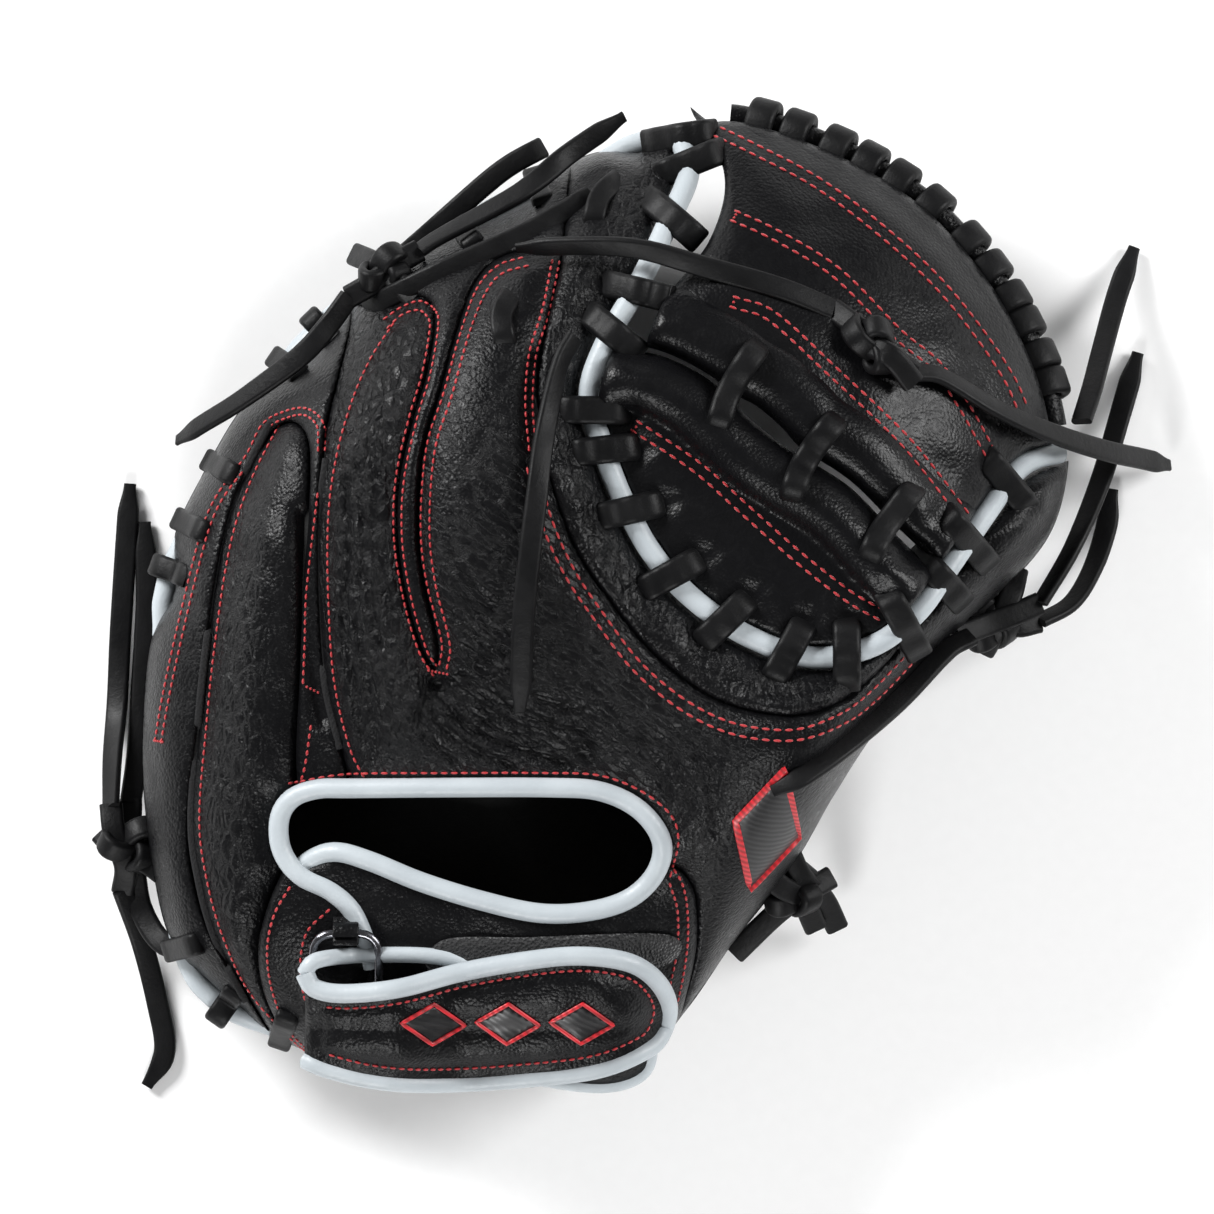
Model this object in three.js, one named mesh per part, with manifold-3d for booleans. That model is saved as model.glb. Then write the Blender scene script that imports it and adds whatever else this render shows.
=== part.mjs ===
// A catcher's mitt for the left hand, lying palm down with its back up.
// Units are millimetres. +Z is up, +Y runs from the wrist to the finger tips, +X towards the thumb.

import * as THREE from 'three';
import { mergeVertices } from 'three/addons/utils/BufferGeometryUtils.js';
import Module from 'manifold-3d';

// ---- Driving dimensions ----

const CELL = 12; // grid spacing that every leather and padding layer shares, so layers never cross
const RIM_HEIGHT = 24; // centre of the rim welt above the resting surface
const WELT_RADIUS = 3;
const LACE_THICKNESS = 1.6;
const LEATHER = 4; // back shell with its backing
const PALM_LEATHER = 3;
const LINING = 1.5;
const GAP = 0.5; // between stacked layers
const RIM_INSET = 2; // from the outline to the welt's centreline
const THUMB_RIM_INSET = 2.5;
const SHELL_INSET = 2; // from the outline to the edge of the back and palm leather
const LACED_INSET = 9.5; // the same where lacing winds round the rim welt
const HELIX_RADIUS = WELT_RADIUS + 1.9; // lacing wound round a welt
const GROOVE = 13; // clear width along the crotch for its welt and lacing
const TAIL_RADIUS = 1.5; // free lace tails

const HINGE_LOW = [23, -113]; // plan points of the line that the mitt folds about
const HINGE_HIGH = [89, 106];
const HINGE_HEIGHT = 45;
const HINGE_HALF_ANGLE = THREE.MathUtils.degToRad(15.5); // half of the notch under the fold
const HINGE_GAP = 0.6;

const STRAP_BINDING_RADIUS = 2.4;

// ---- Outline and seams in plan, each a smooth curve through its points ----

const OUTLINE = [
  [18, 128], [-1, 121.5], [-18.5, 113.5], [-40, 102], [-63, 88], [-85, 68], [-99.5, 50.5],
  [-110.5, 31.5], [-119, 13], [-124.5, -13], [-126.5, -43], [-124.5, -70], [-118.5, -98],
  [-107.5, -113], [-90, -122.5], [-68.5, -129], [-41.5, -132], [-14.5, -132.5], [9.5, -128],
  [23, -114], [35.5, -96], [51.5, -75.5], [63.5, -55], [76, -36], [92, -16], [109.5, 0.5],
  [122, 15.5], [127, 33], [126, 49], [120.5, 66.5], [109.5, 87], [93.5, 106], [77, 118],
  [58.5, 127], [39.5, 133], [27.5, 133],
];
const CROTCH = [
  [15, 137], [19.5, 125.5], [23, 114], [17, 99], [9.5, 83], [1, 68], [-4, 53], [0, 38], [5, 25],
  [12.5, 11], [23, -1], [38, -11.5], [55.5, -17.5], [72, -14.5], [84, -5.5], [92, 5.5],
  [103, 21], [113, 34], [124, 38], [138, 40],
];
const WEB_LEFT = [[33.5, 117], [33, 106], [29, 95.5], [23, 85.5], [15, 73.5], [11, 62.5], [9, 52]];
const WEB_GAP = [[0, 76], [26, 60.5], [50, 41.5], [74.5, 22], [104, -4]];
const WEB_BAND = [
  [12, 134], [31, 122], [53, 111], [66.5, 102], [80, 89.5], [93.5, 76], [103, 65], [109.5, 53],
  [124, 32],
];
const WRIST_OPENING = [
  [-69, -84], [-76, -79], [-82.5, -74.5], [-86.5, -69], [-87, -61], [-82, -55], [-66, -53],
  [-41.5, -52.5], [-14.5, -52.5], [0, -53.5], [10.5, -58.5], [15.5, -67], [14, -75.5], [7, -82.5],
  [-4, -86], [-17.5, -86.5], [-33.5, -84], [-50, -80], [-61, -80.5],
];
const PINKY_SEAM = [
  [-84, 92], [-61, 66.5], [-69, 46.5], [-73.5, 25], [-74, -2], [-71.5, -29], [-64, -60],
];
const RING_SEAM = [
  [-47, 115], [-44, 72], [-48.5, 52], [-53.5, 30], [-53.5, 8.5], [-47.5, -15.5], [-41.5, -60],
];
const ROLL_SEAM = [
  [-7, 132], [-12, 87.5], [-16, 70.5], [-18.5, 52], [-17.5, 33], [-8, 6], [9.5, -18.5],
  [31.5, -34], [53, -36.5], [70, -28], [80, -17], [86, -6],
];
const MIDDLE_SEAM = [[-52, -15], [-22.5, -26.5], [4, -10]];
const BASE_SEAM = [[8, -70], [22.5, -86], [22.5, -97], [18, -118], [8, -140]];
const TAB_RIGHT_SEAM = [[-62, -76], [-74.5, -88], [-81, -107.5], [-79.5, -115.5], [-76, -142]];
const TAB_LEFT_SEAM = [[-78, -66], [-93, -78], [-94, -87], [-95, -107.5], [-91, -118], [-86, -140]];
const PAD_AREA = [
  [-14, 96], [-48, 76], [-74, 56], [-94, 28], [-102, -10], [-102, -50], [-97, -86], [-80, -102],
  [-40, -112], [5, -108], [20, -94], [38, -68], [54, -48], [67, -36], [82, -20], [78, -12],
  [66, -20], [52, -26], [30, -20], [12, -4], [-2, 14], [-11, 34], [-15, 54], [-9, 72], [0, 90],
];
const STRAP = [
  [-80, -103], [-68.5, -106], [-55, -105], [-41.5, -101.5], [-22.5, -99], [-6.5, -98], [7, -100.5],
  [15, -106], [16, -112], [12, -118], [0, -122], [-40, -124], [-65, -123], [-80, -121],
];

// ---- Small geometry helpers ----

const wasm = await Module();
wasm.setup();
const { Manifold } = wasm;

const clamp01 = (value) => Math.min(1, Math.max(0, value));
const mix = (a, b, t) => a + (b - a) * t;

function smooth(start, end, value) {
  const t = clamp01((value - start) / (end - start));
  return t * t * (3 - 2 * t);
}

// A quarter circle: 0 at 0, 1 at 1 and beyond.
function roundOff(value) {
  const t = 1 - clamp01(value);
  return Math.sqrt(1 - t * t);
}

function bump(x, y, centreX, centreY, halfWidthX, halfWidthY) {
  return Math.exp(-(((x - centreX) / halfWidthX) ** 2) - ((y - centreY) / halfWidthY) ** 2);
}

function smoothLine(points, count, closed = false) {
  const curve = new THREE.CatmullRomCurve3(
    points.map(([x, y, z]) => new THREE.Vector3(x, y, z ?? 0)), closed, 'centripetal');
  const spaced = curve.getSpacedPoints(count).map((p) => [p.x, p.y, p.z]);
  return closed ? spaced.slice(0, -1) : spaced;
}

function distanceToLine(x, y, line, closed = false) {
  let best = Infinity;
  const last = closed ? line.length : line.length - 1;
  for (let i = 0; i < last; i += 1) {
    const [ax, ay] = line[i];
    const [bx, by] = line[(i + 1) % line.length];
    const lengthSquared = (bx - ax) ** 2 + (by - ay) ** 2;
    const t = clamp01(((x - ax) * (bx - ax) + (y - ay) * (by - ay)) / lengthSquared);
    best = Math.min(best, Math.hypot(x - mix(ax, bx, t), y - mix(ay, by, t)));
  }
  return best;
}

function inside(x, y, loop) {
  let result = false;
  for (let i = 0, j = loop.length - 1; i < loop.length; j = i, i += 1) {
    const [ax, ay] = loop[i];
    const [bx, by] = loop[j];
    if ((ay > y) !== (by > y) && x < ((bx - ax) * (y - ay)) / (by - ay) + ax) result = !result;
  }
  return result;
}

// Moves each point of a line sideways, to the left of its direction of travel.
function offset(line, distance, closed = false) {
  const distanceAt = typeof distance === 'function' ? distance : () => distance;
  return line.map((point, i) => {
    const step = distanceAt(point[0], point[1]);
    const before = line[closed ? (i + line.length - 1) % line.length : Math.max(i - 1, 0)];
    const after = line[closed ? (i + 1) % line.length : Math.min(i + 1, line.length - 1)];
    const dx = after[0] - before[0];
    const dy = after[1] - before[1];
    const length = Math.hypot(dx, dy);
    return [point[0] - (dy / length) * step, point[1] + (dx / length) * step];
  });
}

function toSolid(geometry) {
  geometry.deleteAttribute('normal');
  geometry.deleteAttribute('uv');
  const merged = mergeVertices(geometry, 1e-4);
  const solid = new Manifold(new wasm.Mesh({
    numProp: 3,
    vertProperties: Float32Array.from(merged.attributes.position.array),
    triVerts: Uint32Array.from(merged.index.array),
  }));
  return solid;
}

function prism(loop, low = -30, high = 140) {
  const shape = new THREE.Shape(loop.map(([x, y]) => new THREE.Vector2(x, y)));
  const geometry = new THREE.ExtrudeGeometry(shape, { depth: high - low, bevelEnabled: false });
  return toSolid(geometry.translate(0, 0, low));
}

// A wall of even width along a line, used to part leather at a seam.
function knife(line, width) {
  return prism([...offset(line, -width / 2), ...offset(line, width / 2).reverse()]);
}

// A closed layer between two height functions, trimmed to a loop in plan.
function layer(loop, low, high, cell = CELL) {
  const xs = loop.map((p) => p[0]);
  const ys = loop.map((p) => p[1]);
  const firstX = Math.floor(Math.min(...xs) / cell - 0.01) * cell;
  const firstY = Math.floor(Math.min(...ys) / cell - 0.01) * cell;
  const columns = Math.ceil((Math.max(...xs) - firstX) / cell + 0.01) + 1;
  const rows = Math.ceil((Math.max(...ys) - firstY) / cell + 0.01) + 1;
  const positions = [];
  for (const height of [low, high]) {
    for (let row = 0; row < rows; row += 1) {
      for (let column = 0; column < columns; column += 1) {
        const x = firstX + column * cell;
        const y = firstY + row * cell;
        positions.push(x, y, height(x, y));
      }
    }
  }
  const top = columns * rows;
  const faces = [];
  const quad = (a, b, c, d) => faces.push(a, b, c, a, c, d);
  for (let row = 0; row < rows - 1; row += 1) {
    for (let column = 0; column < columns - 1; column += 1) {
      const a = row * columns + column;
      quad(top + a, top + a + 1, top + a + columns + 1, top + a + columns);
      faces.push(a, a + columns + 1, a + 1, a, a + columns, a + columns + 1);
    }
  }
  for (let column = 0; column < columns - 1; column += 1) {
    const back = (rows - 1) * columns + column;
    quad(column, column + 1, top + column + 1, top + column);
    quad(back + 1, back, top + back, top + back + 1);
  }
  for (let row = 0; row < rows - 1; row += 1) {
    const left = row * columns;
    const right = left + columns - 1;
    quad(left + columns, left, top + left, top + left + columns);
    quad(right, right + columns, top + right + columns, top + right);
  }
  const geometry = new THREE.BufferGeometry();
  geometry.setAttribute('position', new THREE.Float32BufferAttribute(positions, 3));
  geometry.setIndex(faces);
  return toSolid(geometry).intersect(prism(loop));
}

function roundSection(radius, sides) {
  const shape = new THREE.Shape();
  for (let i = 0; i < sides; i += 1) {
    const angle = (i / sides) * 2 * Math.PI;
    const point = [radius * Math.cos(angle), radius * Math.sin(angle)];
    if (i === 0) shape.moveTo(...point);
    else shape.lineTo(...point);
  }
  shape.closePath();
  return shape;
}

function tube(points, radius, { sides = 6, step = 8, closed = false } = {}) {
  const curve = new THREE.CatmullRomCurve3(
    points.map((p) => new THREE.Vector3(...p)), closed, 'centripetal');
  const steps = Math.max(3, Math.round(curve.getLength() / step));
  return new THREE.ExtrudeGeometry(roundSection(radius, sides), {
    steps, extrudePath: curve, bevelEnabled: false, curveSegments: 1,
  });
}

// Lacing wound round a welt: an open helix along the welt's path.
function winding(path, radius, pitch, stepsPerTurn = 5) {
  const curve = new THREE.CatmullRomCurve3(
    path.map((p) => new THREE.Vector3(...p)), false, 'centripetal');
  const turns = Math.max(1, Math.round(curve.getLength() / pitch));
  const up = new THREE.Vector3(0, 0, 1);
  const points = [];
  for (let i = 0; i <= turns * stepsPerTurn; i += 1) {
    const t = i / (turns * stepsPerTurn);
    const along = curve.getTangentAt(t);
    const side = new THREE.Vector3().crossVectors(up, along).normalize();
    const over = new THREE.Vector3().crossVectors(along, side);
    const angle = (i / stepsPerTurn) * 2 * Math.PI;
    points.push(curve.getPointAt(t)
      .addScaledVector(side, radius * Math.cos(angle))
      .addScaledVector(over, radius * Math.sin(angle)).toArray());
  }
  const polyline = new THREE.CurvePath();
  for (let i = 1; i < points.length; i += 1) {
    const from = new THREE.Vector3(...points[i - 1]);
    polyline.add(new THREE.LineCurve3(from, new THREE.Vector3(...points[i])));
  }
  return new THREE.ExtrudeGeometry(roundSection(LACE_THICKNESS / 2, 4), {
    steps: points.length - 1, extrudePath: polyline, bevelEnabled: false, curveSegments: 1,
  });
}

// ---- The mitt's form: heights over the plan ----

const outline = smoothLine(OUTLINE, 64, true);
const crotch = smoothLine(CROTCH, 44);
const webTopEdge = outline.filter(([x, y]) => x > 24 && (x - 24) * 0.9 + (y - 30) > 60 && y > 34);
const hingeDirection = new THREE.Vector2(
  HINGE_HIGH[0] - HINGE_LOW[0], HINGE_HIGH[1] - HINGE_LOW[1]).normalize();

// Distance from the folding line: positive on the thumb side.
function sideOf(x, y) {
  return (x - HINGE_LOW[0]) * hingeDirection.y - (y - HINGE_LOW[1]) * hingeDirection.x;
}

function inset(x, y) {
  const distance = distanceToLine(x, y, outline, true);
  return inside(x, y, outline) ? distance : -distance;
}

function crotchHeight(x, y) {
  const reach = clamp01(distanceToLine(x, y, webTopEdge) / 75);
  return 30 + 48 * (1 - (1 - reach) ** 2);
}

function crown(x, y) {
  return 60 + 34 * bump(x, y, -28, 20, 62, 80) + 26 * bump(x, y, 62, -38, 42, 45);
}

function thumbShare(x) {
  return smooth(10, 70, x);
}

function backTop(x, y) {
  const edge = RIM_HEIGHT + 7.5;
  const shoulder = mix(42, 20, thumbShare(x));
  const body = edge + (crown(x, y) - edge) * roundOff(inset(x, y) / shoulder);
  const nearCrotch = roundOff((distanceToLine(x, y, crotch) - 4) / 16);
  return mix(Math.min(body, crotchHeight(x, y) + 4), body, nearCrotch);
}

function palmBottom(x, y) {
  const thumb = thumbShare(x);
  const distance = inset(x, y);
  const rim = (RIM_HEIGHT - 6.5) * (1 - roundOff(distance / mix(22, 13, thumb)));
  const pocket = mix(46, 50, thumb) * smooth(mix(36, 16, thumb), mix(96, 34, thumb), distance);
  const body = Math.max(rim, pocket);
  const target = Math.min(crotchHeight(x, y) - 5, backTop(x, y) - LEATHER - PALM_LEATHER - 1.5);
  const nearCrotch = 1 - smooth(4, mix(40, 24, thumb), distanceToLine(x, y, crotch));
  return Math.min(mix(body, Math.max(body, target), nearCrotch), target);
}

// Each layer's top and bottom, from the palm upwards.
const palmTop = (x, y) => palmBottom(x, y) + PALM_LEATHER;
const backBottom = (x, y) => backTop(x, y) - LEATHER;
const innerSpace = (x, y) => backBottom(x, y) - palmTop(x, y);
const padBottom = (x, y) => palmTop(x, y) + GAP;
const padTop = (x, y) => padBottom(x, y) + Math.max(0.6, Math.min(16, innerSpace(x, y) * 0.4 - GAP));
const liningBottom = (x, y) => padTop(x, y) + GAP / 2;
const liningRoom = (x, y) => Math.max(0.2, Math.min(LINING, innerSpace(x, y) * 0.1));
const liningTop = (x, y) => liningBottom(x, y) + liningRoom(x, y);
const backLiningTop = (x, y) => backBottom(x, y) - GAP / 2;
const backLiningBottom = (x, y) => backLiningTop(x, y) - liningRoom(x, y);
const heelPadTop = (x, y) => padBottom(x, y) + Math.max(0.6, innerSpace(x, y) - 2 * GAP);
const webTop = (x, y) => crotchHeight(x, y) + 2;
const webBottom = (x, y) => webTop(x, y) - 7;

// The height of a layer's flat facets, for pieces that lie on them.
function facetAt(height, x, y) {
  const column = Math.floor(x / CELL);
  const row = Math.floor(y / CELL);
  const u = x / CELL - column;
  const v = y / CELL - row;
  const corner = (i, j) => height((column + i) * CELL, (row + j) * CELL);
  if (u > v) return corner(0, 0) + (corner(1, 0) - corner(0, 0)) * u + (corner(1, 1) - corner(1, 0)) * v;
  return corner(0, 0) + (corner(1, 1) - corner(0, 1)) * u + (corner(0, 1) - corner(0, 0)) * v;
}

// ---- Parting the mitt into its two sides and its panels ----

function sideWall(sign) {
  // A big block on one side of the folding line, with a notch under the fold's axis.
  const reach = 400;
  const shape = new THREE.Shape([
    new THREE.Vector2(sign * HINGE_GAP, 300),
    new THREE.Vector2(sign * HINGE_GAP, HINGE_HEIGHT),
    new THREE.Vector2(sign * (HINGE_GAP + HINGE_HEIGHT * 2 * Math.tan(HINGE_HALF_ANGLE)), -HINGE_HEIGHT),
    new THREE.Vector2(sign * reach, -HINGE_HEIGHT),
    new THREE.Vector2(sign * reach, 300),
  ]);
  const geometry = new THREE.ExtrudeGeometry(shape, { depth: 2 * reach, bevelEnabled: false });
  const across = new THREE.Vector3(hingeDirection.y, -hingeDirection.x, 0);
  const along = new THREE.Vector3(hingeDirection.x, hingeDirection.y, 0);
  const frame = new THREE.Matrix4().makeBasis(across, new THREE.Vector3(0, 0, 1), along.negate());
  geometry.translate(0, 0, -reach).applyMatrix4(frame);
  geometry.translate(HINGE_LOW[0], HINGE_LOW[1], 0);
  return toSolid(geometry);
}

const fingerHalf = sideWall(-1);
const thumbHalf = sideWall(1);

// The one piece of a cut solid that lies over a probe point.
function pieceAt(solid, [x, y]) {
  const probe = prism([[x - 1, y - 1], [x + 1, y - 1], [x + 1, y + 1], [x - 1, y + 1]]);
  const found = solid.decompose().filter((piece) => piece.intersect(probe).volume() > 0);
  if (found.length === 0) throw new Error(`nothing at ${x}, ${y}`);
  return found.sort((a, b) => b.volume() - a.volume())[0];
}

function largest(solid) {
  return solid.decompose().sort((a, b) => b.volume() - a.volume())[0];
}

const crotchCut = knife(crotch, GROOVE);
const seamKnife = (line, width = 0.6) => knife(smoothLine(line, 12), width);

function shellInset(x, y) {
  return mix(SHELL_INSET, LACED_INSET, smooth(-10, 8, y) * (1 - smooth(-12, 10, x)));
}

const shellLoop = offset(outline, shellInset, true);

function handShell(low, high, loop = shellLoop) {
  return pieceAt(layer(loop, low, high).subtract(crotchCut), [-30, 0]);
}

const openingLoop = smoothLine(WRIST_OPENING, 30, true);
const openingCut = prism(offset(openingLoop, WELT_RADIUS + 0.6, true));

// ---- Nodes ----

const group = new THREE.Group();

const MATERIALS = {
  leather: { color: 0x1c1c1d, roughness: 0.48, metalness: 0 },
  palmLeather: { color: 0x202021, roughness: 0.5, metalness: 0 },
  lace: { color: 0x171718, roughness: 0.55, metalness: 0 },
  piping: { color: 0xc9cfd2, roughness: 0.5, metalness: 0 },
  felt: { color: 0xb9b2a4, roughness: 0.95, metalness: 0 },
  lining: { color: 0x262626, roughness: 0.8, metalness: 0 },
  loopTape: { color: 0x141414, roughness: 0.95, metalness: 0 },
  nickel: { color: 0x5a5a5e, roughness: 0.3, metalness: 1 },
};

function add(name, shape, material) {
  let geometry = shape;
  if (shape instanceof Manifold) {
    const { vertProperties, triVerts } = shape.getMesh();
    geometry = new THREE.BufferGeometry();
    geometry.setAttribute('position', new THREE.Float32BufferAttribute(vertProperties, 3));
    geometry.setIndex(Array.from(triVerts));
  }
  const mesh = new THREE.Mesh(geometry, new THREE.MeshStandardMaterial(MATERIALS[material]));
  mesh.name = name;
  group.add(mesh);
}

// Adds both sides of a layer that crosses the folding line.
function addHalves(name, solid, material) {
  add(name, largest(solid.intersect(fingerHalf)), material);
  add(`thumb_${name}`, largest(solid.intersect(thumbHalf)), material);
}

// The rim welt's path on each side of the fold.
function longestRun(points, keep, closed) {
  const count = points.length;
  const isFirst = (p, i) => keep(p) && !keep(points[(i + count - 1) % count]);
  const start = closed ? points.findIndex(isFirst) : 0;
  let best = [];
  let run = [];
  for (let i = 0; i < count; i += 1) {
    const point = points[(start + i) % count];
    if (keep(point)) run.push(point);
    else run = [];
    if (run.length > best.length) best = run;
  }
  return best;
}

const CLEAR_OF_FOLD = 9;
const onFingerSide = ([x, y]) => sideOf(x, y) < -CLEAR_OF_FOLD;
const onThumbSide = ([x, y]) => sideOf(x, y) > CLEAR_OF_FOLD;
const inHand = ([x, y]) => distanceToLine(x, y, webTopEdge) > 14
  && distanceToLine(x, y, crotch) > 10 + 8 * thumbShare(x);
const rimInset = (x) => mix(RIM_INSET, THUMB_RIM_INSET, thumbShare(x));
const rimPath = offset(outline, rimInset, true).map(([x, y]) => [x, y, RIM_HEIGHT]);
const fingerRim = longestRun(rimPath, (p) => onFingerSide(p) && inHand(p), true);
const thumbRim = longestRun(rimPath, (p) => onThumbSide(p) && inHand(p), true);
const RIM_TUBE = { step: 12 };
const rimRoom = toSolid(tube(fingerRim, WELT_RADIUS + 0.4, RIM_TUBE))
  .add(toSolid(tube(thumbRim, WELT_RADIUS + 0.4, RIM_TUBE)));

// Back panels.
const backShell = handShell(backBottom, backTop).subtract(openingCut).subtract(rimRoom);
const fingerBack = backShell.intersect(fingerHalf)
  .subtract(seamKnife(PINKY_SEAM))
  .subtract(seamKnife(RING_SEAM))
  .subtract(seamKnife(ROLL_SEAM))
  .subtract(seamKnife(MIDDLE_SEAM))
  .subtract(seamKnife(BASE_SEAM))
  .subtract(seamKnife(TAB_RIGHT_SEAM))
  .subtract(seamKnife(TAB_LEFT_SEAM));
add('pinky_back', pieceAt(fingerBack, [-100, -20]), 'leather');
add('ring_back', pieceAt(fingerBack, [-62, 20]), 'leather');
add('middle_back', pieceAt(fingerBack, [-35, 20]), 'leather');
add('hand_back', pieceAt(fingerBack, [-20, -40]), 'leather');
add('crotch_roll', pieceAt(fingerBack, [-10, 60]), 'leather');
add('wrist_base', pieceAt(fingerBack, [-30, -110]), 'leather');
add('ring_tab_panel', pieceAt(fingerBack, [-87, -105]), 'leather');
add('thumb_back', largest(backShell.intersect(thumbHalf)), 'leather');

// Palm shell, pads and linings.
addHalves('palm_shell', handShell(palmBottom, palmTop).subtract(rimRoom), 'palmLeather');
const padLoop = smoothLine(PAD_AREA, 30, true);
addHalves('palm_pad', handShell(padBottom, padTop, padLoop), 'felt');
const lining = handShell(liningBottom, liningTop, padLoop);
add('palm_lining', largest(lining.intersect(fingerHalf)), 'lining');
const backLining = handShell(backLiningBottom, backLiningTop, padLoop)
  .subtract(prism(offset(openingLoop, WELT_RADIUS + 4, true)));
add('back_lining', largest(backLining.intersect(fingerHalf)), 'lining');
const heelRing = handShell(padBottom, heelPadTop, offset(outline, (x, y) => shellInset(x, y) + 1, true))
  .subtract(rimRoom)
  .subtract(prism(offset(padLoop, -0.6, true)))
  .subtract(prism([[20, 60], [160, 60], [160, -160], [20, -160]]));
add('heel_pad', largest(heelRing.intersect(fingerHalf)), 'felt');

// Walls between the finger stalls, from the palm lining to the back lining.
const STALL_WALLS = {
  pinky_stall_wall: [[-78, 44], [-80, -20]],
  ring_stall_wall: [[-52, 56], [-54, -20]],
};
for (const [name, line] of Object.entries(STALL_WALLS)) {
  const wall = layer([...offset(line, -1), ...offset(line, 1).reverse()],
    (x, y) => liningTop(x, y) + GAP / 2, (x, y) => backLiningBottom(x, y) - GAP / 2);
  add(name, largest(wall), 'lining');
}

// Piping and the lacing wound round it.
add('rim_welt', tube(fingerRim, WELT_RADIUS, RIM_TUBE), 'piping');
add('thumb_rim_welt', tube(thumbRim, WELT_RADIUS, RIM_TUBE), 'piping');
const lacedRim = fingerRim.filter(([x, y]) => y > 8 && x < -12);
add('rim_lacing', winding(lacedRim, HELIX_RADIUS, 15), 'lace');

const crotchPath = crotch
  .filter(([x, y]) => inset(x, y) > 4)
  .map(([x, y]) => [x, y, crotchHeight(x, y)]);
const fingerCrotch = crotchPath.filter(([x, y]) => sideOf(x, y) < -3);
const thumbCrotch = crotchPath.filter(([x, y]) => sideOf(x, y) > 3);
add('crotch_welt', tube(fingerCrotch, WELT_RADIUS, { step: 9 }), 'piping');
add('thumb_crotch_welt', tube(thumbCrotch, WELT_RADIUS, { step: 9 }), 'piping');
add('crotch_lacing', winding(fingerCrotch.slice(2, -2), HELIX_RADIUS, 12.5), 'lace');
add('thumb_crotch_lacing', winding(thumbCrotch.slice(2, -2), HELIX_RADIUS, 12.5), 'lace');

const bindingPath = openingLoop.map(([x, y]) => [x, y, facetAt(backTop, x, y) - 2]);
add('wrist_binding',
  tube([...bindingPath, bindingPath[0]], WELT_RADIUS - 0.3, { step: 9, closed: true }), 'piping');

// Web: rolled top edge with its lacing, band, main panel, lower panel and spiral lacing.
const EDGE_ROLL_RADIUS = 3;
const EDGE_INSET = 3.5;
const EDGE_CLEARANCE = 9.8; // from the outline to the web's band, clear of the winding
const edgePath = offset(webTopEdge, EDGE_INSET).map(([x, y]) => [x, y, 30]);
const fingerEdge = edgePath.filter(([x, y]) => sideOf(x, y) < -CLEAR_OF_FOLD && x > 34);
const thumbEdge = edgePath.filter(([x, y]) => sideOf(x, y) > CLEAR_OF_FOLD && y > 48);
for (const [prefix, path] of [['', fingerEdge], ['thumb_', thumbEdge]]) {
  add(`${prefix}web_edge_roll`, tube(path, EDGE_ROLL_RADIUS, { step: 10 }), 'leather');
  add(`${prefix}web_edge_lacing`, winding(path, EDGE_ROLL_RADIUS + 1.9, 10.5), 'lace');
}
const crotchUnderWeb = crotch.filter(([x, y]) => y < 36 && x < 112);
const underEdge = offset(webTopEdge, EDGE_CLEARANCE).filter(([x]) => x > 36);
const webLoop = [...underEdge, ...smoothLine(WEB_LEFT, 8), ...crotchUnderWeb];
const web = layer(webLoop, webBottom, webTop)
  .subtract(crotchCut)
  .subtract(seamKnife(WEB_GAP, 4))
  .subtract(seamKnife(WEB_BAND, 0.8));
const fingerWeb = web.intersect(fingerHalf);
const thumbWeb = web.intersect(thumbHalf);
add('web_band', pieceAt(fingerWeb, [44, 119]), 'leather');
add('web_main_panel', pieceAt(fingerWeb, [50, 80]), 'leather');
add('web_lower_panel', pieceAt(fingerWeb, [30, 30]), 'leather');
add('thumb_web_band', pieceAt(thumbWeb, [102, 72.5]), 'leather');
add('thumb_web_main_panel', pieceAt(thumbWeb, [90, 50]), 'leather');
add('thumb_web_lower_panel', pieceAt(thumbWeb, [78, 8]), 'leather');

const LACE_OVER_WEB = 3.5;
const overWeb = (points) => points.map(([x, y]) => [x, y, facetAt(webTop, x, y) + LACE_OVER_WEB]);
const WEB_SPIRAL = [[39, 67], [34, 56], [30, 45], [46, 46], [60, 46], [56, 36], [50, 25]];
add('web_spiral_lacing', tube(overWeb(WEB_SPIRAL), TAIL_RADIUS, { step: 5 }), 'lace');

// Wrist closure: the under strap runs through the ring and folds back as the outer flap.
const above = (height, extra) => (x, y) => height(x, y) + extra;
const LOOP_PATCH = [[-40, -93], [17, -93], [18, -101], [-40, -99]];
const UNDER_STRAP = [
  [-79, -107], [-40, -104], [10, -105], [14, -112], [8, -119], [-40, -121], [-78, -119],
];
const HOOK_PATCH = [[-35, -105], [8, -106], [10, -115], [-35, -118]];
const RING_ROOM = 10; // how far the flap stands off the back where the ring lies under it
const ringRoom = (x) => RING_ROOM * (1 - smooth(-62, -40, x));
const flapBottom = (x, y) => backTop(x, y) + 3.6 + ringRoom(x);
add('loop_patch', layer(LOOP_PATCH, above(backTop, 0.5), above(backTop, 1.8)), 'loopTape');
add('under_strap', layer(UNDER_STRAP, above(backTop, 0.5), above(backTop, 1.8)), 'leather');
add('hook_patch', layer(HOOK_PATCH, above(backTop, 2.2), above(backTop, 3.2)), 'loopTape');
const strapLoop = smoothLine(STRAP, 26, true);
add('strap_flap', layer(strapLoop, flapBottom, above(flapBottom, 3.4)), 'leather');

const bindingLoop = offset(strapLoop, STRAP_BINDING_RADIUS + 0.4, true);
const strapBinding = bindingLoop.map(([x, y]) => [x, y, facetAt(flapBottom, x, y) + 1.7]);
add('strap_binding', tube(strapBinding, STRAP_BINDING_RADIUS, { step: 9, closed: true }), 'piping');

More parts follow.
